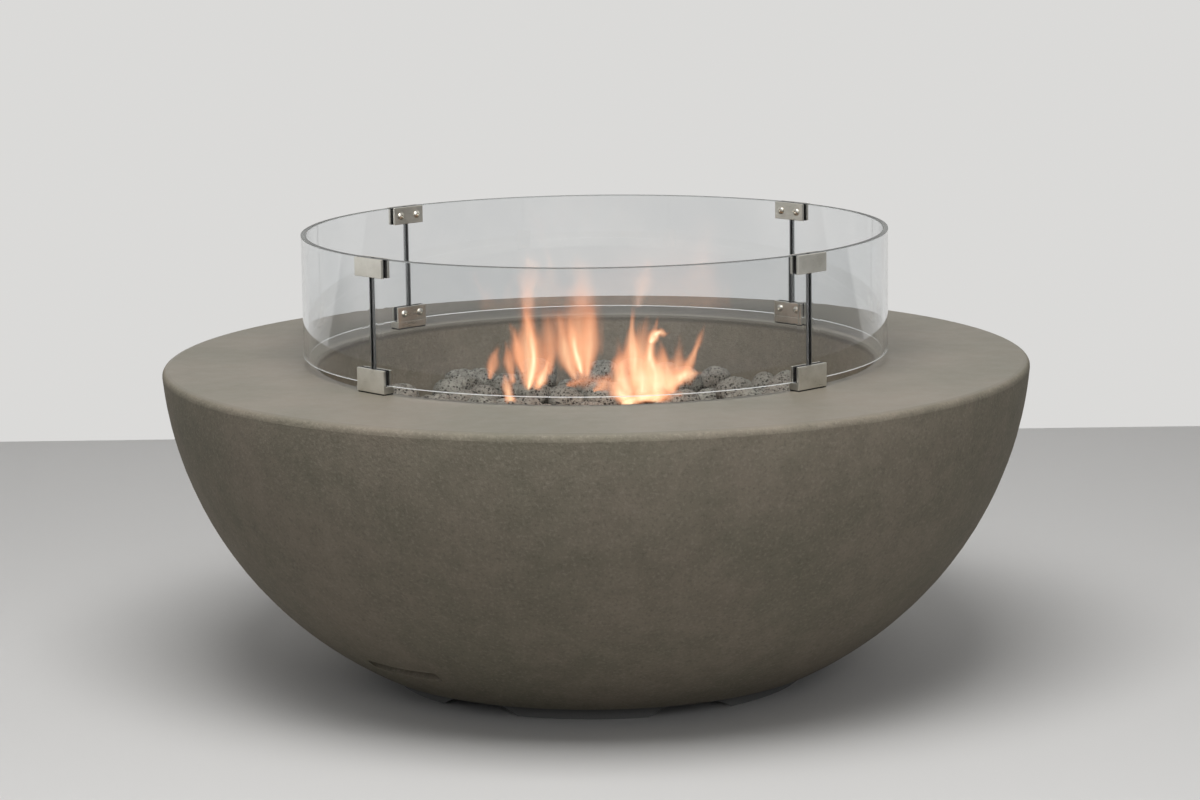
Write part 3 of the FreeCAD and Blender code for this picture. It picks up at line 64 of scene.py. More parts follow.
# %% [markdown]
# The camera
#
# The view is from a little over four metres away, through a long lens at about chest height, and the picture
# leans by less than a degree. One could point a camera at the bowl with a Track To constraint, but three turns
# in a row, first the lean, then the tilt and then the swing, keep each of them a plain number.

# %% Camera
PHOTO_WIDTH, SENSOR_WIDTH = 1200, 36
FOCAL_PIXELS = 3505.2
CAMERA_PLACE = Vector((0, -4.2783, 1.0883))
TILT_DOWN, SWING, LEAN = 0.1734, 0.001, -0.0129


def add_object(name, data):
    """Links new data to the scene as an object at the origin."""
    thing = bpy.data.objects.new(name, data)
    scene.collection.objects.link(thing)
    return thing


lens = bpy.data.cameras.new("photo_camera")
lens.sensor_width = SENSOR_WIDTH
lens.lens = FOCAL_PIXELS / PHOTO_WIDTH * lens.sensor_width
camera = add_object("photo_camera", lens)
tilted = Matrix.Rotation(math.pi / 2 - TILT_DOWN, 4, "X") @ Matrix.Rotation(LEAN, 4, "Z")
camera.matrix_world = Matrix.Translation(CAMERA_PLACE) @ Matrix.Rotation(-SWING, 4, "Z") @ tilted
scene.camera = camera
print(f"camera with a {lens.lens:.1f} mm lens, {CAMERA_PLACE.length:.2f} m from the bowl's foot")

# %% [markdown]
# Helpers for shader nodes
#
# A finish is a small tree of nodes. It could be clicked together in the Shader Editor. In a script it reads
# best when one call adds a node, sets it and links it, so these helpers do only that.

# %% Node helpers
def put(tree, kind, inputs=None, **settings):
    """Adds a node. Each input is a socket to link from, or a plain value."""
    node = tree.nodes.new(kind)
    for name, value in settings.items():
        setattr(node, name, value)
    for name, value in (inputs or {}).items():
        if isinstance(value, bpy.types.NodeSocket):
            tree.links.new(value, node.inputs[name])
        else:
            node.inputs[name].default_value = value
    return node


def blend(tree, factor, first, second, how="MIX"):
    """Mixes two colours. A Mix node's colour sockets are numbers 6 and 7, and its result is number 2."""
    node = put(tree, "ShaderNodeMix", {0: factor, 6: first, 7: second}, data_type="RGBA", blend_type=how)
    return node.outputs[2]


def between(tree, value, low, high, start=0.0, end=1.0):
    """A smooth step from start to end while the value goes from low to high."""
    node = put(tree, "ShaderNodeMapRange", {"Value": value, "From Min": low, "From Max": high,
                                            "To Min": start, "To Max": end}, interpolation_type="SMOOTHSTEP")
    return node.outputs["Result"]


def math_node(tree, operation, first, second=0.0):
    return put(tree, "ShaderNodeMath", {0: first, 1: second}, operation=operation).outputs[0]


def times(tree, first, second):
    return math_node(tree, "MULTIPLY", first, second)


def plus(tree, first, second):
    return math_node(tree, "ADD", first, second)


def bump(tree, height, distance, strength=1.0):
    node = put(tree, "ShaderNodeBump", {"Height": height, "Distance": distance, "Strength": strength})
    return node.outputs["Normal"]


print("node helpers ready")

# %% Material and group helpers
def new_group(name, inputs, outputs):
    """A shader node group with named sockets, and its two end nodes."""
    group = bpy.data.node_groups.new(name, "ShaderNodeTree")
    for label, kind in inputs:
        group.interface.new_socket(label, in_out="INPUT", socket_type=kind)
    for label, kind in outputs:
        group.interface.new_socket(label, in_out="OUTPUT", socket_type=kind)
    return group, group.nodes.new("NodeGroupInput"), group.nodes.new("NodeGroupOutput")


def use_group(tree, group, inputs):
    """Places a shared effect in a material, and gives what it puts out."""
    return put(tree, "ShaderNodeGroup", inputs, node_tree=group).outputs


def new_material(name):
    """A material with a Principled shader, and the object's own coordinates to paint by."""
    material = bpy.data.materials.new(name)
    material.use_nodes = True
    tree = material.node_tree
    shader = tree.nodes["Principled BSDF"]
    place = put(tree, "ShaderNodeTexCoord").outputs["Object"]
    return material, tree, shader, place


def linked(tree, shader, **sockets):
    """Links sockets to the shader's inputs, with an underscore for each space in a name."""
    for name, socket in sockets.items():
        tree.links.new(socket, shader.inputs[name.replace("_", " ")])


print("material helpers ready")

# %% [markdown]
# Effects that several finishes share
#
# Cast and ground surfaces are never one flat tone: they are cloudy at the width of a hand and grainy at the
# width of a pin. Brushed metal has fine lines. Each effect is a node group, built once and placed in many
# materials with other sizes, so that a change here reaches all of them.

# %% Shared effects
VECTOR, FLOAT, COLOUR = "NodeSocketVector", "NodeSocketFloat", "NodeSocketColor"


def make_cloudy_tone():
    """Two colours that drift into each other in soft clouds."""
    group, given, made = new_group("Cloudy Tone", [("Position", VECTOR), ("Cloud Size", FLOAT), ("Dark", COLOUR),
                                                   ("Light", COLOUR)], [("Color", COLOUR), ("Mask", FLOAT)])
    scale = math_node(group, "DIVIDE", 1.0, given.outputs["Cloud Size"])
    cloud = put(group, "ShaderNodeTexNoise", {"Vector": given.outputs["Position"], "Scale": scale, "Detail": 4.0,
                                              "Roughness": 0.6})
    mask = between(group, cloud.outputs["Fac"], 0.3, 0.7)
    group.links.new(blend(group, mask, given.outputs["Dark"], given.outputs["Light"]), made.inputs["Color"])
    group.links.new(mask, made.inputs["Mask"])
    return group


def make_fine_grain():
    """Grains of sand: a height for bumps, and masks of the pale and the dark ones."""
    group, given, made = new_group("Fine Grain", [("Position", VECTOR), ("Grain Size", FLOAT)],
                                   [("Height", FLOAT), ("Pale", FLOAT), ("Dark", FLOAT)])
    scale = math_node(group, "DIVIDE", 1.0, given.outputs["Grain Size"])
    grain = put(group, "ShaderNodeTexNoise", {"Vector": given.outputs["Position"], "Scale": scale, "Detail": 2.0,
                                              "Roughness": 0.7})
    group.links.new(grain.outputs["Fac"], made.inputs["Height"])
    group.links.new(between(group, grain.outputs["Fac"], 0.52, 0.72), made.inputs["Pale"])
    group.links.new(between(group, grain.outputs["Fac"], 0.46, 0.28), made.inputs["Dark"])
    return group


def make_fine_lines():
    """Lines drawn along the directions in which Stretch is small."""
    group, given, made = new_group("Fine Lines", [("Position", VECTOR), ("Stretch", VECTOR)], [("Lines", FLOAT)])
    along = put(group, "ShaderNodeVectorMath", {0: given.outputs["Position"], 1: given.outputs["Stretch"]},
                operation="MULTIPLY")
    lines = put(group, "ShaderNodeTexNoise", {"Vector": along.outputs[0], "Scale": 1.0, "Detail": 3.0})
    group.links.new(lines.outputs["Fac"], made.inputs["Lines"])
    return group


cloudy_tone, fine_grain, fine_lines = make_cloudy_tone(), make_fine_grain(), make_fine_lines()


def clouds(tree, place, size, dark, light):
    return use_group(tree, cloudy_tone, {"Position": place, "Cloud Size": size, "Dark": dark, "Light": light})


def grains(tree, place, size):
    return use_group(tree, fine_grain, {"Position": place, "Grain Size": size})


print("groups:", [group.name for group in bpy.data.node_groups])

# %% [markdown]
# Concrete
#
# The bowl is sprayed into a mould, so its flank is matt and sandy, while the rim was cast against a smooth
# face and has a soft sheen. The foot ring under the flank is painted darker, a painted shade for the shadow
# under the overhanging flank, and the rounded lip of the well is painted darker too, a painted shade that keeps
# its rounding from showing as a pale lit line. The shell could be cut into faces with a material each. One
# material is simpler: the height above the floor and the distance from the axis, both read from the object's own
# coordinates, say which of these surfaces a point lies on.

# %% Concrete tones
FLANK_DARK, FLANK_LIGHT, FLANK_CLOUD = (0.194, 0.176, 0.131, 1), (0.245, 0.21, 0.163, 1), 0.19
MOTTLE_DARK, MOTTLE_LIGHT, MOTTLE_CLOUD = (0.88, 0.88, 0.87, 1), (1.06, 1.06, 1.06, 1), 0.028
SAND_TONE, SAND_SHARE, SAND_SIZE = (0.33, 0.3, 0.245, 1), 0.42, 0.0042
PIT_TONE, PIT_SHARE = (0.085, 0.078, 0.06, 1), 0.3
RIM_TONE, RIM_SHARE, RIM_BLEND = (0.9, 0.91, 0.94, 1), 0.8, 0.0014
# Painted shade: the foot ring is darkened for the shadow under the overhanging flank.
FOOT_SHADE_TONE, FOOT_TOP, FOOT_BLEND = (0.13, 0.13, 0.125, 1), 0.0205, 0.001
# Painted shade: the well's rounded lip is darkened so that it shows no pale lit line.
LIP_SHADE_TONE, LIP_SHADE_SHARE = (0.115, 0.104, 0.083, 1), 0.85
LIP_RADIUS, LIP_BLEND, LIP_DEPTH = 0.3475, 0.0012, 0.01
FLANK_DULLNESS, MOTTLE_DULLNESS, RIM_SHEEN = 0.78, 0.06, 0.33
SAND_RELIEF, SAND_STRENGTH = 0.0012, 0.5
print("flank from", FLANK_DARK[:3], "to", FLANK_LIGHT[:3])

# %% Concrete finish
def make_concrete():
    material, tree, shader, place = new_material("concrete")
    height = put(tree, "ShaderNodeSeparateXYZ", {"Vector": place}).outputs["Z"]
    level = put(tree, "ShaderNodeVectorMath", {0: place, 1: (1, 1, 0)}, operation="MULTIPLY").outputs[0]
    radius = put(tree, "ShaderNodeVectorMath", {0: level}, operation="LENGTH").outputs["Value"]
    on_rim = between(tree, height, rim_height - 2 * RIM_BLEND, rim_height - RIM_BLEND / 4)
    # Painted shade on the foot ring, below the flank's lower edge.
    foot_shade = between(tree, height, FOOT_TOP + FOOT_BLEND, FOOT_TOP - FOOT_BLEND)
    # Painted shade on the rounded lip of the well.
    lip_shade = times(tree, between(tree, radius, LIP_RADIUS + LIP_BLEND, LIP_RADIUS),
                   between(tree, height, rim_height - LIP_DEPTH, rim_height - LIP_DEPTH / 2))
    wide = clouds(tree, place, FLANK_CLOUD, FLANK_DARK, FLANK_LIGHT)
    narrow = clouds(tree, place, MOTTLE_CLOUD, MOTTLE_DARK, MOTTLE_LIGHT)
    grain = grains(tree, place, SAND_SIZE)
    tone = blend(tree, 1.0, wide["Color"], narrow["Color"], "MULTIPLY")
    tone = blend(tree, times(tree, grain["Pale"], SAND_SHARE), tone, SAND_TONE)
    rough_tone = blend(tree, times(tree, grain["Dark"], PIT_SHARE), tone, PIT_TONE)
    cast_tone = blend(tree, 1.0, wide["Color"], RIM_TONE, "MULTIPLY")
    smooth_tone = blend(tree, RIM_SHARE, rough_tone, cast_tone)
    tone = blend(tree, on_rim, rough_tone, smooth_tone)
    tone = blend(tree, foot_shade, tone, FOOT_SHADE_TONE)
    # Painted shade: the lip of the well is darkened.
    tone = blend(tree, times(tree, lip_shade, LIP_SHADE_SHARE), tone, LIP_SHADE_TONE)
    dull = plus(tree, times(tree, on_rim, -RIM_SHEEN), FLANK_DULLNESS)
    dull = plus(tree, dull, times(tree, narrow["Mask"], MOTTLE_DULLNESS))
    grip = times(tree, grain["Height"], math_node(tree, "SUBTRACT", 1.0, on_rim))
    linked(tree, shader, Base_Color=tone, Roughness=dull, Normal=bump(tree, grip, SAND_RELIEF, SAND_STRENGTH))
    shader.inputs["Specular IOR Level"].default_value = 0.45
    return material


concrete = make_concrete()
print("concrete with", len(concrete.node_tree.nodes), "nodes")

# %% [markdown]
# Metals
#
# The clips are brushed stainless steel. The burner is plainer steel, dulled by heat, and the gas fittings are
# turned brass. A metal's colour sits in its reflections, so what tells these apart is how wide the reflections
# are smeared, and that is what the fine lines and clouds change.

# %% Metal finishes
METAL_CLOUD, CLOUD_DULLNESS = 0.03, 0.05
LINE_SHARE, LINE_RELIEF, LINE_STRENGTH = 0.22, 0.00006, 0.5
LEVEL_LINES, ALL_WAYS = (60.0, 60.0, 2600.0), (900.0, 900.0, 900.0)


def make_metal(name, dark, light, dull, stretch):
    material, tree, shader, place = new_material(name)
    tone = clouds(tree, place, METAL_CLOUD, dark, light)
    lines = use_group(tree, fine_lines, {"Position": place, "Stretch": stretch})["Lines"]
    spread = plus(tree, times(tree, lines, LINE_SHARE), dull - LINE_SHARE / 2)
    spread = plus(tree, spread, times(tree, tone["Mask"], CLOUD_DULLNESS))
    linked(tree, shader, Base_Color=tone["Color"], Roughness=spread,
           Normal=bump(tree, lines, LINE_RELIEF, LINE_STRENGTH))
    shader.inputs["Metallic"].default_value = 1.0
    return material


clip_steel = make_metal("brushed_clip_steel", (0.64, 0.615, 0.54, 1), (0.78, 0.755, 0.68, 1), 0.3, LEVEL_LINES)
burner_steel = make_metal("burner_steel", (0.2, 0.18, 0.165, 1), (0.42, 0.405, 0.39, 1), 0.5, ALL_WAYS)
brass = make_metal("turned_brass", (0.56, 0.4, 0.17, 1), (0.72, 0.55, 0.28, 1), 0.33, ALL_WAYS)
print("metals:", clip_steel.name, burner_steel.name, brass.name)

# %% [markdown]
# Rubber, plastic and ceramic
#
# The clips' liners, the leads, the knob and the igniter's cell are all moulded or pressed. They differ in tone,
# in how dull they are and in how coarse their grain is. One recipe with a row of numbers for each is enough.

# %% Moulded finishes
MOULD_CLOUD, GRAIN_DULLNESS, GRAIN_STRENGTH = 0.012, 0.12, 0.6
# Dark tone, light tone, roughness, size of the grain and its relief in metres
MOULDED = {
    "clip_rubber": ((0.012, 0.012, 0.012, 1), (0.03, 0.03, 0.03, 1), 0.62, 0.0015, 0.0001),
    "lead_rubber": ((0.2, 0.03, 0.02, 1), (0.3, 0.05, 0.035, 1), 0.4, 0.002, 0.00005),
    "black_plastic": ((0.012, 0.012, 0.013, 1), (0.025, 0.025, 0.026, 1), 0.42, 0.0006, 0.00006),
    "white_ceramic": ((0.68, 0.65, 0.58, 1), (0.8, 0.78, 0.72, 1), 0.5, 0.001, 0.00004),
    "cell_skin": ((0.1, 0.1, 0.105, 1), (0.15, 0.15, 0.155, 1), 0.3, 0.003, 0.00003),
}


def make_moulded(name, dark, light, dull, grain_size, relief):
    material, tree, shader, place = new_material(name)
    tone = clouds(tree, place, MOULD_CLOUD, dark, light)
    grain = grains(tree, place, grain_size)
    spread = plus(tree, times(tree, grain["Pale"], GRAIN_DULLNESS), dull)
    linked(tree, shader, Base_Color=tone["Color"], Roughness=spread,
           Normal=bump(tree, grain["Height"], relief, GRAIN_STRENGTH))
    return material


moulded = {name: make_moulded(name, *values) for name, values in MOULDED.items()}
print("moulded finishes:", *moulded)

# %% [markdown]
# Glass
#
# The panes are six millimetres of tempered glass, a little grey, with ground edges. What shows are its
# reflections and its edges: the bottom edge is a white line, a painted highlight given by a faint glow for the
# light that the pane pipes to it, the top edge is a thin grey one, and where two panes meet their edges make one
# dark band, which is painted shade. A pane could be split into faces with other materials. Masks of height, and
# of the distance to each joint, do the same on the solid as it is.

# %% Glass edges and joints
EDGE, GLINT_EDGE = 0.0012, 0.0004
JOINTS, JOINT_ANGLE, JOINT_BAND = 4, -46.3, 0.0034
GUARD_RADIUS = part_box("glass_panel_right")[1].x


def on_joint(tree, spot, number):
    """1 in the narrow band where two panes meet, at one of the four joints."""
    angle = math.radians(JOINT_ANGLE + 360 / JOINTS * number)
    side = plus(tree, times(tree, spot["X"], math.cos(angle)), times(tree, spot["Y"], math.sin(angle)))
    ahead = math_node(tree, "SUBTRACT", times(tree, spot["X"], math.sin(angle)),
                      times(tree, spot["Y"], math.cos(angle)))
    near = between(tree, math_node(tree, "ABSOLUTE", side), JOINT_BAND, JOINT_BAND * 0.8)
    return times(tree, near, between(tree, ahead, 0.0, GUARD_RADIUS / 2))


print(f"{JOINTS} joints on a guard of {GUARD_RADIUS:.3f} m radius")

# %% Glass finish
GLASS_DARK, GLASS_LIGHT, GLASS_CLOUD = (0.86, 0.875, 0.885, 1), (0.9, 0.91, 0.915, 1), 0.09
# The second tone, for the band where two panes meet, is painted shade.
TOP_EDGE_TONE, JOINT_SHADE_TONE = (0.4, 0.43, 0.42, 1), (0.05, 0.055, 0.055, 1)
# The bottom edge's glow is a painted highlight: emission for the light that the pane carries to that edge.
NO_GLINT, PAINTED_GLINT = (0, 0, 0, 1), (0.2, 0.203, 0.197, 1)
GROUND_DULLNESS = 0.35


def make_glass():
    material, tree, shader, place = new_material("guard_glass")
    spot = put(tree, "ShaderNodeSeparateXYZ", {"Vector": place}).outputs
    bottom_edge = between(tree, spot["Z"], glass_low + GLINT_EDGE, glass_low + GLINT_EDGE / 3)
    top_edge = between(tree, spot["Z"], glass_high - EDGE, glass_high - EDGE / 3)
    joint = on_joint(tree, spot, 0)
    for number in range(1, JOINTS):
        joint = math_node(tree, "MAXIMUM", joint, on_joint(tree, spot, number))
    ground = math_node(tree, "MAXIMUM", joint, math_node(tree, "MAXIMUM", bottom_edge, top_edge))
    haze = clouds(tree, place, GLASS_CLOUD, GLASS_DARK, GLASS_LIGHT)
    tone = blend(tree, top_edge, haze["Color"], TOP_EDGE_TONE)
    # Painted shade at the joints between panes.
    tone = blend(tree, joint, tone, JOINT_SHADE_TONE)
    # Painted highlight along the bottom edge, by emission.
    painted_glint = blend(tree, bottom_edge, NO_GLINT, PAINTED_GLINT)
    linked(tree, shader, Base_Color=tone, Roughness=times(tree, ground, GROUND_DULLNESS), Emission_Color=painted_glint)
    shader.inputs["Emission Strength"].default_value = 1.0
    shader.inputs["Transmission Weight"].default_value = 1.0
    shader.inputs["IOR"].default_value = 1.5
    return material


guard_glass = make_glass()
print("glass", guard_glass.name)

# %% [markdown]
# Dressing the solids
#
# The frame names a slot for every solid, such as glass or clip_steel, so finishes are given out by slot. The
# lava stones are the one slot left over, because the next cells make those stones anew.

# %% Dress the solids by the record's slots
FINISHES = {"concrete": concrete, "glass": guard_glass, "clip_steel": clip_steel, "burner_steel": burner_steel,
            "brass": brass, **moulded}
dressed = [part for part in frame["record"]["subparts"] if part["material_slot"] in FINISHES]
for part in dressed:
    nodes[part["node"]].material_slots[0].material = FINISHES[part["material_slot"]]
print("dressed", len(dressed), "solids")

# %% [markdown]
# Lava stones
#
# Tumbled lava is round but never a ball, and it is full of gas pores. The frame says where each stone lies and
# how wide it is, so the meshes start from there. The heap is one mesh, and a stone in it is an island: all the
# vertices that edges lead to from one of them.

# %% Where the stones lie
def stone_places():
    """Centre and half extents of every stone in the frame, from a merged copy of its mesh."""
    heap = bmesh.new()
    heap.from_mesh(nodes["lava_rocks"].data)
    bmesh.ops.remove_doubles(heap, verts=heap.verts, dist=0.0001)
    seen = set()
    places = []
    for start in heap.verts:
        if start.index in seen:
            continue
        island, reach = [], [start]
        seen.add(start.index)
        while reach:
            vert = reach.pop()
            island.append(vert.co)
            for edge in vert.link_edges:
                other = edge.other_vert(vert)
                if other.index not in seen:
                    seen.add(other.index)
                    reach.append(other)
        low = Vector(min(point[axis] for point in island) for axis in range(3))
        high = Vector(max(point[axis] for point in island) for axis in range(3))
        places.append(((low + high) / 2, (high - low) / 2))
    heap.free()
    return sorted(places, key=lambda stone: (round(stone[0].z, 5), round(stone[0].x, 5)))


stones = stone_places()
print(len(stones), "stones, tops up to", round(max(place.z + half.z for place, half in stones), 3))

# %% [markdown]
# The shape of a stone
#
# Sculpting each stone would take days, and a Displace modifier would give all of them one texture. Here an
# icosphere per stone is pushed in and out by noise, with another seed for each. Stones in the top layer get many
# faces. The buried ones below only close the gaps, so a few dozen faces are enough.

# %% Shape the stones
TOP_LAYER = 0.316
FINE_CUTS, PLAIN_CUTS = 4, 2
SQUASH, GROWTH = Vector((1.04, 0.94, 1.0)), 1.03
WIDE_LUMPS, WIDE_WAVES = 0.11, 1.3
SMALL_LUMPS, SMALL_WAVES = 0.05, 3.1
PITS, PIT_WAVES, PIT_LEVEL = 0.05, 7.0, 0.12


def add_stone(heap, tints, number, place, half):
    """One stone: a squashed icosphere whose surface swells and pits with noise."""
    shows = place.z + half.z > TOP_LAYER
    made = bmesh.ops.create_icosphere(heap, subdivisions=FINE_CUTS if shows else PLAIN_CUTS, radius=1.0)
    seed = Vector((number * 7.3, number * 3.1, number * 1.7))
    lean = Matrix.Rotation(number * 2.4, 3, "Z") @ Matrix.Rotation(0.35 * math.sin(number), 3, "X")
    for vert in made["verts"]:
        way = vert.co.normalized()
        wide, small, pitted = (noise.noise(way * waves + seed) for waves in (WIDE_WAVES, SMALL_WAVES, PIT_WAVES))
        lumps = WIDE_LUMPS * wide + SMALL_LUMPS * small
        pits = -PITS * max(0.0, pitted - PIT_LEVEL) if shows else 0.0
        shaped = lean @ (way * SQUASH * (1.0 + lumps + pits))
        vert.co = place + shaped * half * GROWTH
        vert[tints] = 0.5 + 0.5 * math.sin(number * 12.9)


def finish_mesh(name, shape, smooth):
    """Turns a bmesh into a piece of the scene, with its place in its mesh."""
    for face in shape.faces:
        face.smooth = smooth
    mesh = bpy.data.meshes.new(name)
    shape.to_mesh(mesh)
    shape.free()
    return add_object(name, mesh)


heap = bmesh.new()
stone_tints = heap.verts.layers.float.new("stone_tint")
for number, (place, half) in enumerate(stones):
    add_stone(heap, stone_tints, number, place, half)
lava_stones = finish_mesh("lava_stones", heap, smooth=True)
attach(lava_stones, "bowl")
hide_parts("lava_rocks")
print("stones with", len(lava_stones.data.polygons), "faces")

# %% [markdown]
# The stones' finish
#
# Fresh lava is dark grey, old lava is rusty, and a heap holds both. The tint of each stone was stored on its
# vertices. Pores are the cells of a Voronoi texture at two sizes, sunk by bump and painted near-black, a painted
# shade for the shadow deep in each hole, since modelled pores would need millions of faces.

# %% Lava finish
GREY_DARK, GREY_LIGHT, GREY_CLOUD = (0.18, 0.172, 0.143, 1), (0.305, 0.297, 0.253, 1), 0.02
RUST_DARK, RUST_LIGHT, RUST_CLOUD = (0.182, 0.163, 0.135, 1), (0.285, 0.266, 0.224, 1), 0.015
WIDE_PORES, NARROW_PORES, NARROW_SHARE = 225.0, 450.0, 0.8
# Painted shade: the pores are darkened for the shadow inside the holes.
PORE_SHADE_TONE, PORE_SHADE_SHARE = (0.045, 0.04, 0.034, 1), 0.95
SPECK_TONE, SPECK_SHARE, SPECK_SIZE = (0.45, 0.44, 0.395, 1), 0.35, 0.0022
PORE_DEPTH, PORE_STRENGTH, SPECK_RELIEF = 0.002, 0.9, 0.35


def pores(tree, place, scale, rim, floor):
    """1 in the middle of each Voronoi cell, fading to 0 at the pore's rim."""
    cells = put(tree, "ShaderNodeTexVoronoi", {"Vector": place, "Scale": scale}).outputs["Distance"]
    return between(tree, cells, rim, floor)


def make_lava():
    material, tree, shader, place = new_material("lava")
    tint = put(tree, "ShaderNodeAttribute", attribute_name="stone_tint").outputs["Fac"]
    grey = clouds(tree, place, GREY_CLOUD, GREY_DARK, GREY_LIGHT)
    rust = clouds(tree, place, RUST_CLOUD, RUST_DARK, RUST_LIGHT)
    tone = blend(tree, between(tree, tint, 0.35, 1.0), grey["Color"], rust["Color"])
    narrow = times(tree, pores(tree, place, NARROW_PORES, 0.36, 0.2), NARROW_SHARE)
    pore = math_node(tree, "MAXIMUM", pores(tree, place, WIDE_PORES, 0.4, 0.22), narrow)
    grain = grains(tree, place, SPECK_SIZE)
    tone = blend(tree, times(tree, grain["Pale"], SPECK_SHARE), tone, SPECK_TONE)
    # Painted shade in the pores.
    tone = blend(tree, times(tree, pore, PORE_SHADE_SHARE), tone, PORE_SHADE_TONE)
    relief = math_node(tree, "SUBTRACT", times(tree, grain["Height"], SPECK_RELIEF), pore)
    linked(tree, shader, Base_Color=tone, Normal=bump(tree, relief, PORE_DEPTH, PORE_STRENGTH))
    shader.inputs["Roughness"].default_value = 0.92
    return material


lava_stones.data.materials.append(make_lava())
print("lava finish on", lava_stones.name)

# %% [markdown]
# The flame
#
# A gas flame has no surface, but a still picture of one shows soft upright tongues that are pale where they are
# hottest. Smoke simulation would make it, yet a mesh format such as glTF keeps no volume. So each tongue is a
# few thin closed petals round one bent spine, turned so that it reads from every side. Bright cores stand inside
# wider and fainter bodies, and plumes fade out above them.

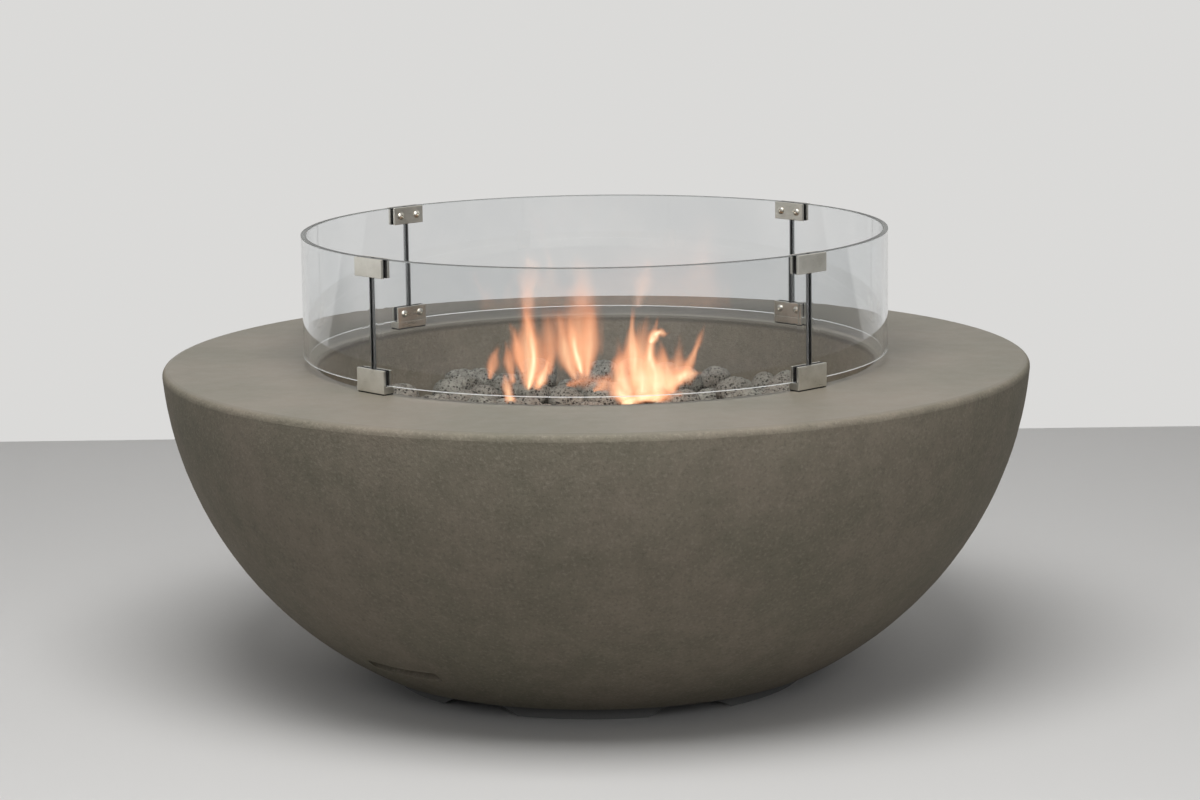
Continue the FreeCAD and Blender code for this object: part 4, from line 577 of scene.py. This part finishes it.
# %% Spines of the tongues
# Depth and heat of a tongue, then per station: across, height and half width. Lengths are in millimetres.
TONGUES = {
    "left_core": (100, 1.0, [(-87, 334, 2.6), (-83, 350, 6.8), (-79, 371, 8.4), (-80, 393, 8.4),
        (-85, 417, 6.8), (-89, 441, 5.3), (-91, 463, 2.1)]),
    "left_body": (104, 0.55, [(-88, 333, 4.7), (-86, 354, 18.9), (-85, 376, 26), (-86, 398, 24),
        (-85, 419, 17.4), (-86, 441, 14.2), (-88, 462, 12.6), (-88, 486, 4.2)]),
    "left_plume": (108, 0.1, [(-84, 437, 7.9), (-85, 459, 17.4), (-85, 478, 19.5), (-87, 497, 15.8),
        (-93, 515, 4.7)]),
    "left_side": (98, 0.4, [(-92, 356, 3.7), (-97, 377, 8.9), (-101, 399, 8.9), (-105, 415, 5.8),
        (-110, 427, 1.3)]),
    "left_small": (110, 0.36, [(-136, 347, 3.7), (-133, 362, 9), (-129, 377, 9), (-125, 388, 5.3),
        (-123, 398, 1.1)]),
    "left_lick": (0, 0.75, [(-104, 334, 5.7), (-109, 348, 9.2), (-112, 364, 7.2), (-115, 380, 1.5)]),
    "left_wisp": (90, 0.36, [(-105, 344, 4.2), (-108, 363, 9.4), (-111, 379, 8.9), (-113, 392, 4.7),
        (-114, 405, 1)]),
    "left_low": (60, 0.9, [(-74, 344, 3.6), (-70, 354, 8.9), (-64, 367, 6.8), (-59, 382, 3.6), (-56, 394, 1)]),
    "left_low_veil": (64, 0.4, [(-77, 342, 5.2), (-71, 358, 13), (-67, 374, 12), (-66, 390, 7.8),
        (-64, 406, 2.1)]),
    "left_fan": (115, 0.34, [(-61, 350, 4.2), (-58, 374, 12.7), (-59, 404, 15.3), (-62, 431, 13.2),
        (-64, 455, 4.7)]),
    "middle_core": (150, 1.0, [(-18.3, 346, 2.7), (-22, 360, 6.9), (-26, 376, 9), (-29, 395, 9),
        (-32, 414, 6.9), (-34, 436, 2.7)]),
    "middle_right": (154, 0.55, [(-12.2, 340, 3.7), (-10, 361, 11.7), (-8, 389, 17), (-6.6, 416, 18.6),
        (-5.7, 440, 16.5), (-5.4, 465, 5.3)]),
    "middle_left": (148, 0.6, [(-26, 339, 4.8), (-34, 360, 15.9), (-40, 383, 15.4), (-44, 407, 12.2),
        (-49, 428, 9), (-53, 447, 2.7)]),
    "middle_veil": (158, 0.45, [(-18.4, 338, 4.3), (-19.7, 364, 21), (-22, 396, 29), (-22, 426, 27),
        (-19.5, 451, 23), (-18.1, 478, 6.4)]),
    "middle_plume": (162, 0.1, [(-17.7, 429, 10.7), (-16.9, 450, 24), (-15.8, 469, 24), (-22, 488, 16),
        (-25, 507, 4.3)]),
    "middle_foot": (140, 0.22, [(-40, 334, 3.2), (-24, 339, 12.2), (-10.8, 341, 14.3), (2.6, 339, 10.6),
        (13.3, 333, 2.1)]),
    "right_tall": (40, 0.85, [(51, 343, 8.8), (48, 369, 13.5), (46, 395, 10.4), (45, 419, 7.3), (47, 441, 4.7),
        (48, 463, 1.3)]),
    "right_core": (30, 1.0, [(75, 337, 10.3), (72, 362, 13.5), (67, 386, 10.9), (69, 407, 7.2), (75, 426, 4.7),
        (81, 446, 1.3)]),
    "right_heart": (34, 1.0, [(71, 328, 15.5), (75, 348, 24), (77, 367, 19.7), (81, 384, 10.9),
        (83, 400, 2.3)]),
    "right_curl": (24, 1.0, [(67, 406, 5.2), (73, 415, 7.7), (80, 419, 7.2), (87, 418, 4.1), (94, 420, 1)]),
    "right_low_left": (0, 1.0, [(44, 332, 9.2), (32, 344, 13.4), (23, 355, 11.8), (11, 369, 2.1)]),
    "right_wing": (50, 0.85, [(43, 332, 11.4), (33, 351, 22), (31, 370, 17.2), (37, 387, 9.4), (44, 407, 1.8)]),
    "right_veil": (46, 0.55, [(59, 330, 15.6), (56, 362, 29), (56, 394, 25), (59, 421, 15.1), (64, 442, 3.6)]),
    "right_mass": (20, 0.9, [(57, 332, 12.9), (59, 351, 23), (58, 369, 21), (57, 388, 11.4), (55, 406, 2.6)]),
    "right_slope": (60, 0.7, [(96, 334, 7.8), (92, 351, 16.1), (88, 370, 13.5), (83, 389, 7.8),
        (80, 408, 1.6)]),
    "right_low": (70, 1.0, [(85, 340, 7.8), (102, 353, 14.1), (117, 358, 11.5), (127, 360, 6.8),
        (137, 361, 1.3)]),
    "right_outer": (80, 0.5, [(109, 351, 4.2), (117, 369, 7.3), (126, 388, 6.8), (133, 407, 4.7),
        (139, 427, 1)]),
    "right_wisp": (84, 0.42, [(106, 342, 6.3), (104, 363, 15.7), (104, 382, 12), (107, 409, 1.6)]),
    "right_fan": (52, 0.3, [(33, 348, 6.2), (30, 370, 12.5), (29, 388, 8.8), (27, 415, 1.6)]),
    "right_foot": (0, 0.8, [(30, 335, 4.6), (54, 340, 9.2), (78, 344, 10.8), (96, 345, 8.7), (117, 346, 2.1)]),
    "right_plume": (40, 0.06, [(52, 446, 6.2), (56, 467, 14.5), (62, 485, 15.6), (67, 504, 10.4),
        (70, 517, 2.6)]),
    "between": (90, 0.45, [(-4.2, 333, 3.7), (4.1, 339, 11.5), (11.1, 347, 13.1), (16.5, 355, 8.4),
        (20, 369, 1.6)]),
}
print(len(TONGUES), "tongues of flame")

# %% [markdown]
# Along a spine
#
# A tongue of fire bends softly. A Bezier curve object could hold each spine, but only a few stations are known,
# and a Catmull-Rom curve passes through all of them without handles to set.

# %% Follow a spine
def along_spine(points, share):
    """A smooth point on the spine, by a Catmull-Rom curve through its stations."""
    reach = share * (len(points) - 1)
    index = min(int(reach), len(points) - 2)
    part = reach - index
    before, after = points[max(index - 1, 0)], points[min(index + 2, len(points) - 1)]
    return [0.5 * (2 * b + (c - a) * part + (2 * a - 5 * b + 4 * c - d) * part ** 2
                   + (3 * b - a - 3 * c + d) * part ** 3)
            for a, b, c, d in zip(before, points[index], points[index + 1], after)]


print("left core halfway up:", [round(value, 1) for value in along_spine(TONGUES["left_core"][2], 0.5)])

# %% [markdown]
# Petals
#
# A petal is a flat ring that is carried up the spine, turned square to it at each station and bridged to the
# next one, as in a loft. Each vertex keeps how far up the tongue it lies, how near the petal's edge and how hot
# the tongue is, and the finish fades by all three.

# %% Loft the petals
RING_FACES, STATIONS = 12, 20
PETAL_TURNS = (0, 45, 90, 135)
PETAL_THICKNESS, THINNEST, SPREAD = 0.05, 0.4, 1.15
SWAY, SWAY_WAVES = 4.0, 9
WAVER, WAVER_WAVES = 0.2, 13
SLOPE_STEP = 0.02
MILLIMETRES = Matrix.Diagonal((0.001, 0.001, 0.001, 1))


def ring_place(tongue, share, turn):
    """Where a ring stands: square to the spine, turned about it and squashed flat."""
    depth, _, points = tongue
    across, height, half = along_spine(points, share)
    ahead = along_spine(points, min(share + SLOPE_STEP, 1))
    behind = along_spine(points, max(share - SLOPE_STEP, 0))
    lean = math.atan2(ahead[0] - behind[0], ahead[1] - behind[1])
    half = max(half * SPREAD * (1 + WAVER * math.sin(WAVER_WAVES * share + depth)), THINNEST)
    sway = SWAY * math.sin(SWAY_WAVES * share + points[0][0])
    spot = Matrix.Translation((across, depth + sway, height))
    turned = Matrix.Rotation(lean, 4, "Y") @ Matrix.Rotation(math.radians(turn), 4, "Z")
    return MILLIMETRES @ spot @ turned @ Matrix.Diagonal((half, half * PETAL_THICKNESS, 1, 1))


def make_petal(tongue, turn):
    """Rings along the spine, bridged into one closed skin."""
    petal = bmesh.new()
    rise, edge, heat = (petal.verts.layers.float.new(name) for name in ("rise", "edge", "warmth"))
    rings = []
    for station in range(STATIONS + 1):
        share = station / STATIONS
        ring = bmesh.ops.create_circle(petal, segments=RING_FACES, radius=1.0)["verts"]
        for vert in ring:
            vert[rise], vert[edge], vert[heat] = share, abs(vert.co.x), tongue[1]
        bmesh.ops.transform(petal, matrix=ring_place(tongue, share, turn), verts=ring)
        rings.append(list(dict.fromkeys(link for vert in ring for link in vert.link_edges)))
    for lower, upper in zip(rings, rings[1:]):
        bmesh.ops.bridge_loops(petal, edges=lower + upper)
    for ring in (rings[0], rings[-1]):
        bmesh.ops.contextual_create(petal, geom=ring)
    bmesh.ops.recalc_face_normals(petal, faces=petal.faces)
    return petal


print(len(TONGUES) * len(PETAL_TURNS), "petals to loft")

# %% Gather the flame
def make_flame():
    """All petals in one mesh, each passed on through a scratch mesh."""
    scratch = bpy.data.meshes.new("petal")
    flame = bmesh.new()
    for tongue in TONGUES.values():
        for turn in PETAL_TURNS:
            petal = make_petal(tongue, turn)
            petal.to_mesh(scratch)
            petal.free()
            flame.from_mesh(scratch)
    bpy.data.meshes.remove(scratch)
    return finish_mesh("gas_flame", flame, smooth=True)


gas_flame = make_flame()
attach(gas_flame, "bowl")
gas_flame.visible_shadow = gas_flame.visible_diffuse = False
flame_top = max(vert.co.z for vert in gas_flame.data.vertices)
print(f"flame with {len(gas_flame.data.polygons)} faces, up to {flame_top:.3f} m")

# %% [markdown]
# The flame's finish
#
# Hot gas glows and hides nothing, so the finish is black paint that shines and is mostly clear. It grows fainter
# towards a petal's edge and the tongue's tip, and fine upright streaks make both ragged. Hot tongues turn pale
# yellow in their heart, and cool plumes are a paler salmon. Cycles keeps the name heat for smoke, so the
# attribute that carries it is called warmth. A view through many petals needs many transparent bounces.

# %% Flame finish
SALMON, PALE_YELLOW, PLUME = (1.0, 0.33, 0.135, 1), (1.0, 0.84, 0.53, 1), (1.0, 0.62, 0.46, 1)
STREAKS, STREAK_SHARE, STREAK_BASE = (150.0, 150.0, 12.0), 0.45, 0.55
RAGGED_EDGE, RAGGED_TIP = 0.85, 0.5
FAINTEST, HOT_SHARE, HEART_POWER = 0.02, 0.33, 1.5
FIRE_STRENGTH, PETALS_DEEP = 1.7, 96


def make_fire():
    material, tree, shader, place = new_material("fire")
    rise, edge, heat = (put(tree, "ShaderNodeAttribute", attribute_name=name).outputs["Fac"]
                        for name in ("rise", "edge", "warmth"))
    lines = use_group(tree, fine_lines, {"Position": place, "Stretch": STREAKS})["Lines"]
    patchy = plus(tree, times(tree, between(tree, lines, 0.36, 0.64), STREAK_SHARE), STREAK_BASE)
    stray = math_node(tree, "SUBTRACT", lines, 0.5)
    edge = plus(tree, edge, times(tree, stray, RAGGED_EDGE))
    tip = plus(tree, rise, times(tree, stray, RAGGED_TIP))
    heart = times(tree, between(tree, edge, 0.9, 0.05), between(tree, rise, 0.95, 0.3))
    hot = times(tree, heart, math_node(tree, "POWER", heat, HEART_POWER))
    tone = blend(tree, times(tree, hot, patchy), SALMON, PALE_YELLOW)
    tone = blend(tree, between(tree, heat, 0.2, 0.1), tone, PLUME)
    fade = times(tree, between(tree, edge, 1.0, 0.0), between(tree, tip, 0.95, 0.25))
    fade = times(tree, fade, between(tree, rise, 0.0, 0.1))
    body = times(tree, plus(tree, times(tree, heat, HOT_SHARE), FAINTEST), patchy)
    linked(tree, shader, Emission_Color=tone, Alpha=times(tree, fade, body))
    shader.inputs["Base Color"].default_value = (0, 0, 0, 1)
    shader.inputs["Emission Strength"].default_value = FIRE_STRENGTH
    shader.inputs["Specular IOR Level"].default_value = 0.0
    shader.inputs["Roughness"].default_value = 1.0
    return material


gas_flame.data.materials.append(make_fire())
scene.cycles.transparent_max_bounces = PETALS_DEEP
print("fire finish on", gas_flame.name)

# %% [markdown]
# Floor and backdrop
#
# The stage is a plain pale floor with a plain pale wall behind it. The wall shows its own even tone to the
# camera, to mirrors and through glass, and lights the bowl only softly. From behind it is clear, so that it
# doesn't stand in the way when the bowl is looked at from the back. The floor is paler to the eye than to the
# light that it throws back, which keeps the underside of the bowl in shade.

# %% Stage tones
WALL_TONE, FLOOR_TONE = (0.705, 0.7, 0.688, 1), (0.62, 0.612, 0.598, 1)
FLOOR_THROWN, FLOOR_DULLNESS = (0.25, 0.24, 0.222, 1), 0.85


def seen_directly(tree):
    """1 for rays from the camera, or by way of a mirror or glass, and 0 for rays that only carry light."""
    path = put(tree, "ShaderNodeLightPath").outputs
    mirror = math_node(tree, "MAXIMUM", path["Is Glossy Ray"], path["Is Transmission Ray"])
    return math_node(tree, "MAXIMUM", path["Is Camera Ray"], mirror)


def make_wall_tone():
    material, tree, shader, _ = new_material("wall_tone")
    plain = put(tree, "ShaderNodeBsdfDiffuse", {"Color": WALL_TONE})
    shown = put(tree, "ShaderNodeEmission", {"Color": WALL_TONE, "Strength": 1.0})
    front = put(tree, "ShaderNodeMixShader", {0: seen_directly(tree), 1: plain.outputs[0], 2: shown.outputs[0]})
    clear = put(tree, "ShaderNodeBsdfTransparent")
    from_behind = put(tree, "ShaderNodeNewGeometry").outputs["Backfacing"]
    mixed = put(tree, "ShaderNodeMixShader", {0: from_behind, 1: front.outputs[0], 2: clear.outputs[0]})
    tree.links.new(mixed.outputs[0], tree.nodes["Material Output"].inputs["Surface"])
    tree.nodes.remove(shader)
    return material


def make_floor_tone():
    material, tree, shader, _ = new_material("floor_tone")
    linked(tree, shader, Base_Color=blend(tree, seen_directly(tree), FLOOR_THROWN, FLOOR_TONE))
    shader.inputs["Roughness"].default_value = FLOOR_DULLNESS
    return material


wall_tone, floor_tone = make_wall_tone(), make_floor_tone()
print("stage tones:", wall_tone.name, floor_tone.name)

# %% Stage
STAGE_REACH, WALL_PLACE, WALL_TOP = 8.0, 1.6, 4.0
BOWL_MIDDLE = Vector((0, 0, 0.25))
FLOOR_CORNERS = [(-STAGE_REACH, -STAGE_REACH, 0), (STAGE_REACH, -STAGE_REACH, 0),
                 (STAGE_REACH, STAGE_REACH, 0), (-STAGE_REACH, STAGE_REACH, 0)]
WALL_CORNERS = [(-STAGE_REACH, WALL_PLACE, 0), (STAGE_REACH, WALL_PLACE, 0),
                (STAGE_REACH, WALL_PLACE, WALL_TOP), (-STAGE_REACH, WALL_PLACE, WALL_TOP)]


def make_stage_piece(name, corners, material):
    """One flat face that looks towards the bowl."""
    sheet = bmesh.new()
    verts = [sheet.verts.new(corner) for corner in corners]
    face = bmesh.ops.contextual_create(sheet, geom=verts)["faces"][0]
    face.normal_update()
    if face.normal.dot(BOWL_MIDDLE - face.calc_center_median()) < 0:
        bmesh.ops.reverse_faces(sheet, faces=[face])
    piece = finish_mesh(name, sheet, smooth=False)
    piece.data.materials.append(material)
    return piece


floor = make_stage_piece("floor", FLOOR_CORNERS, floor_tone)
wall = make_stage_piece("wall", WALL_CORNERS, wall_tone)
wall.visible_shadow = False
print("stage:", floor.name, wall.name)

# %% [markdown]
# Light
#
# One wide softbox overhead gives the rim its light and leaves the flank in half shade. A second one behind the
# camera lifts the flank, a low one at the back does so for views from behind, and a weak one on the left draws
# the glass. That last one fades towards its edges, so that the glass shows no hard rectangle.

# %% Softboxes
# Place, target, width, depth and power in watts
SOFTBOXES = {
    "softbox_above": ((-0.1, -1.2, 2.6), (0, -0.1, 0.35), 1.8, 1.4, 62),
    "softbox_front": ((1.1, -4.4, 1.9), (0, 0, 0.25), 2.4, 1.6, 31),
    "softbox_left": ((-2.6, 0.1, 0.45), (0, 0, 0.42), 2.6, 0.9, 6.5),
    "softbox_back": ((-0.4, 6.0, 0.2), (0, 0, 0.2), 3.0, 0.35, 30),
}
MIDDLE, FADE_START, FADE_END = 0.5, 0.05, 0.5


def softbox(name, place, target, width, depth, power):
    lamp = bpy.data.lights.new(name, "AREA")
    lamp.shape = "RECTANGLE"
    lamp.size, lamp.size_y, lamp.energy = width, depth, power
    holder = add_object(name, lamp)
    holder.location = place
    holder.rotation_euler = (Vector(target) - Vector(place)).to_track_quat("-Z", "Y").to_euler()
    return lamp


def soften(lamp):
    """Fades a lamp from its middle to its edges."""
    lamp.use_nodes = True
    tree = lamp.node_tree
    across = put(tree, "ShaderNodeNewGeometry").outputs["Parametric"]
    spot = put(tree, "ShaderNodeSeparateXYZ", {0: across}).outputs
    from_middle = [math_node(tree, "ABSOLUTE", math_node(tree, "SUBTRACT", spot[axis], MIDDLE)) for axis in "XY"]
    fades = [between(tree, distance, FADE_END, FADE_START) for distance in from_middle]
    tree.links.new(times(tree, *fades), tree.nodes["Emission"].inputs["Strength"])


softboxes = {name: softbox(name, *values) for name, values in SOFTBOXES.items()}
soften(softboxes["softbox_left"])
print("softboxes:", *softboxes)

# %% [markdown]
# Fire glow and room light
#
# A flame in front of stones warms those beside it. The petals themselves light nothing, because so many thin
# glowing faces make a noisy lamp, and one small warm point lamp in their midst does the work instead. The room
# is a plain world colour. It is a little brighter to the eye than to the bowl, so that glass and steel have
# something pale to mirror.

# %% Fire glow and room light
GLOW_TONE, GLOW_RADIUS, GLOW_POWER = (1.0, 0.45, 0.25), 0.06, 0.2
GLOW_PLACE = (0.02, -0.02, 0.4)
ROOM_TONE, ROOM_LIGHT, ROOM_SHOWN = (0.72, 0.73, 0.75, 1), 0.4, 0.6

glow = bpy.data.lights.new("fire_glow", "POINT")
glow.color, glow.shadow_soft_size, glow.energy = GLOW_TONE, GLOW_RADIUS, GLOW_POWER
fire_glow = add_object("fire_glow", glow)
fire_glow.location = GLOW_PLACE
fire_glow.visible_camera = fire_glow.visible_glossy = fire_glow.visible_transmission = False

scene.world = bpy.data.worlds.new("room")
scene.world.use_nodes = True
room = scene.world.node_tree
background = room.nodes["Background"]
background.inputs["Color"].default_value = ROOM_TONE
room_strength = between(room, seen_directly(room), 0.0, 1.0, ROOM_LIGHT, ROOM_SHOWN)
room.links.new(room_strength, background.inputs["Strength"])
scene.view_settings.view_transform = "Standard"
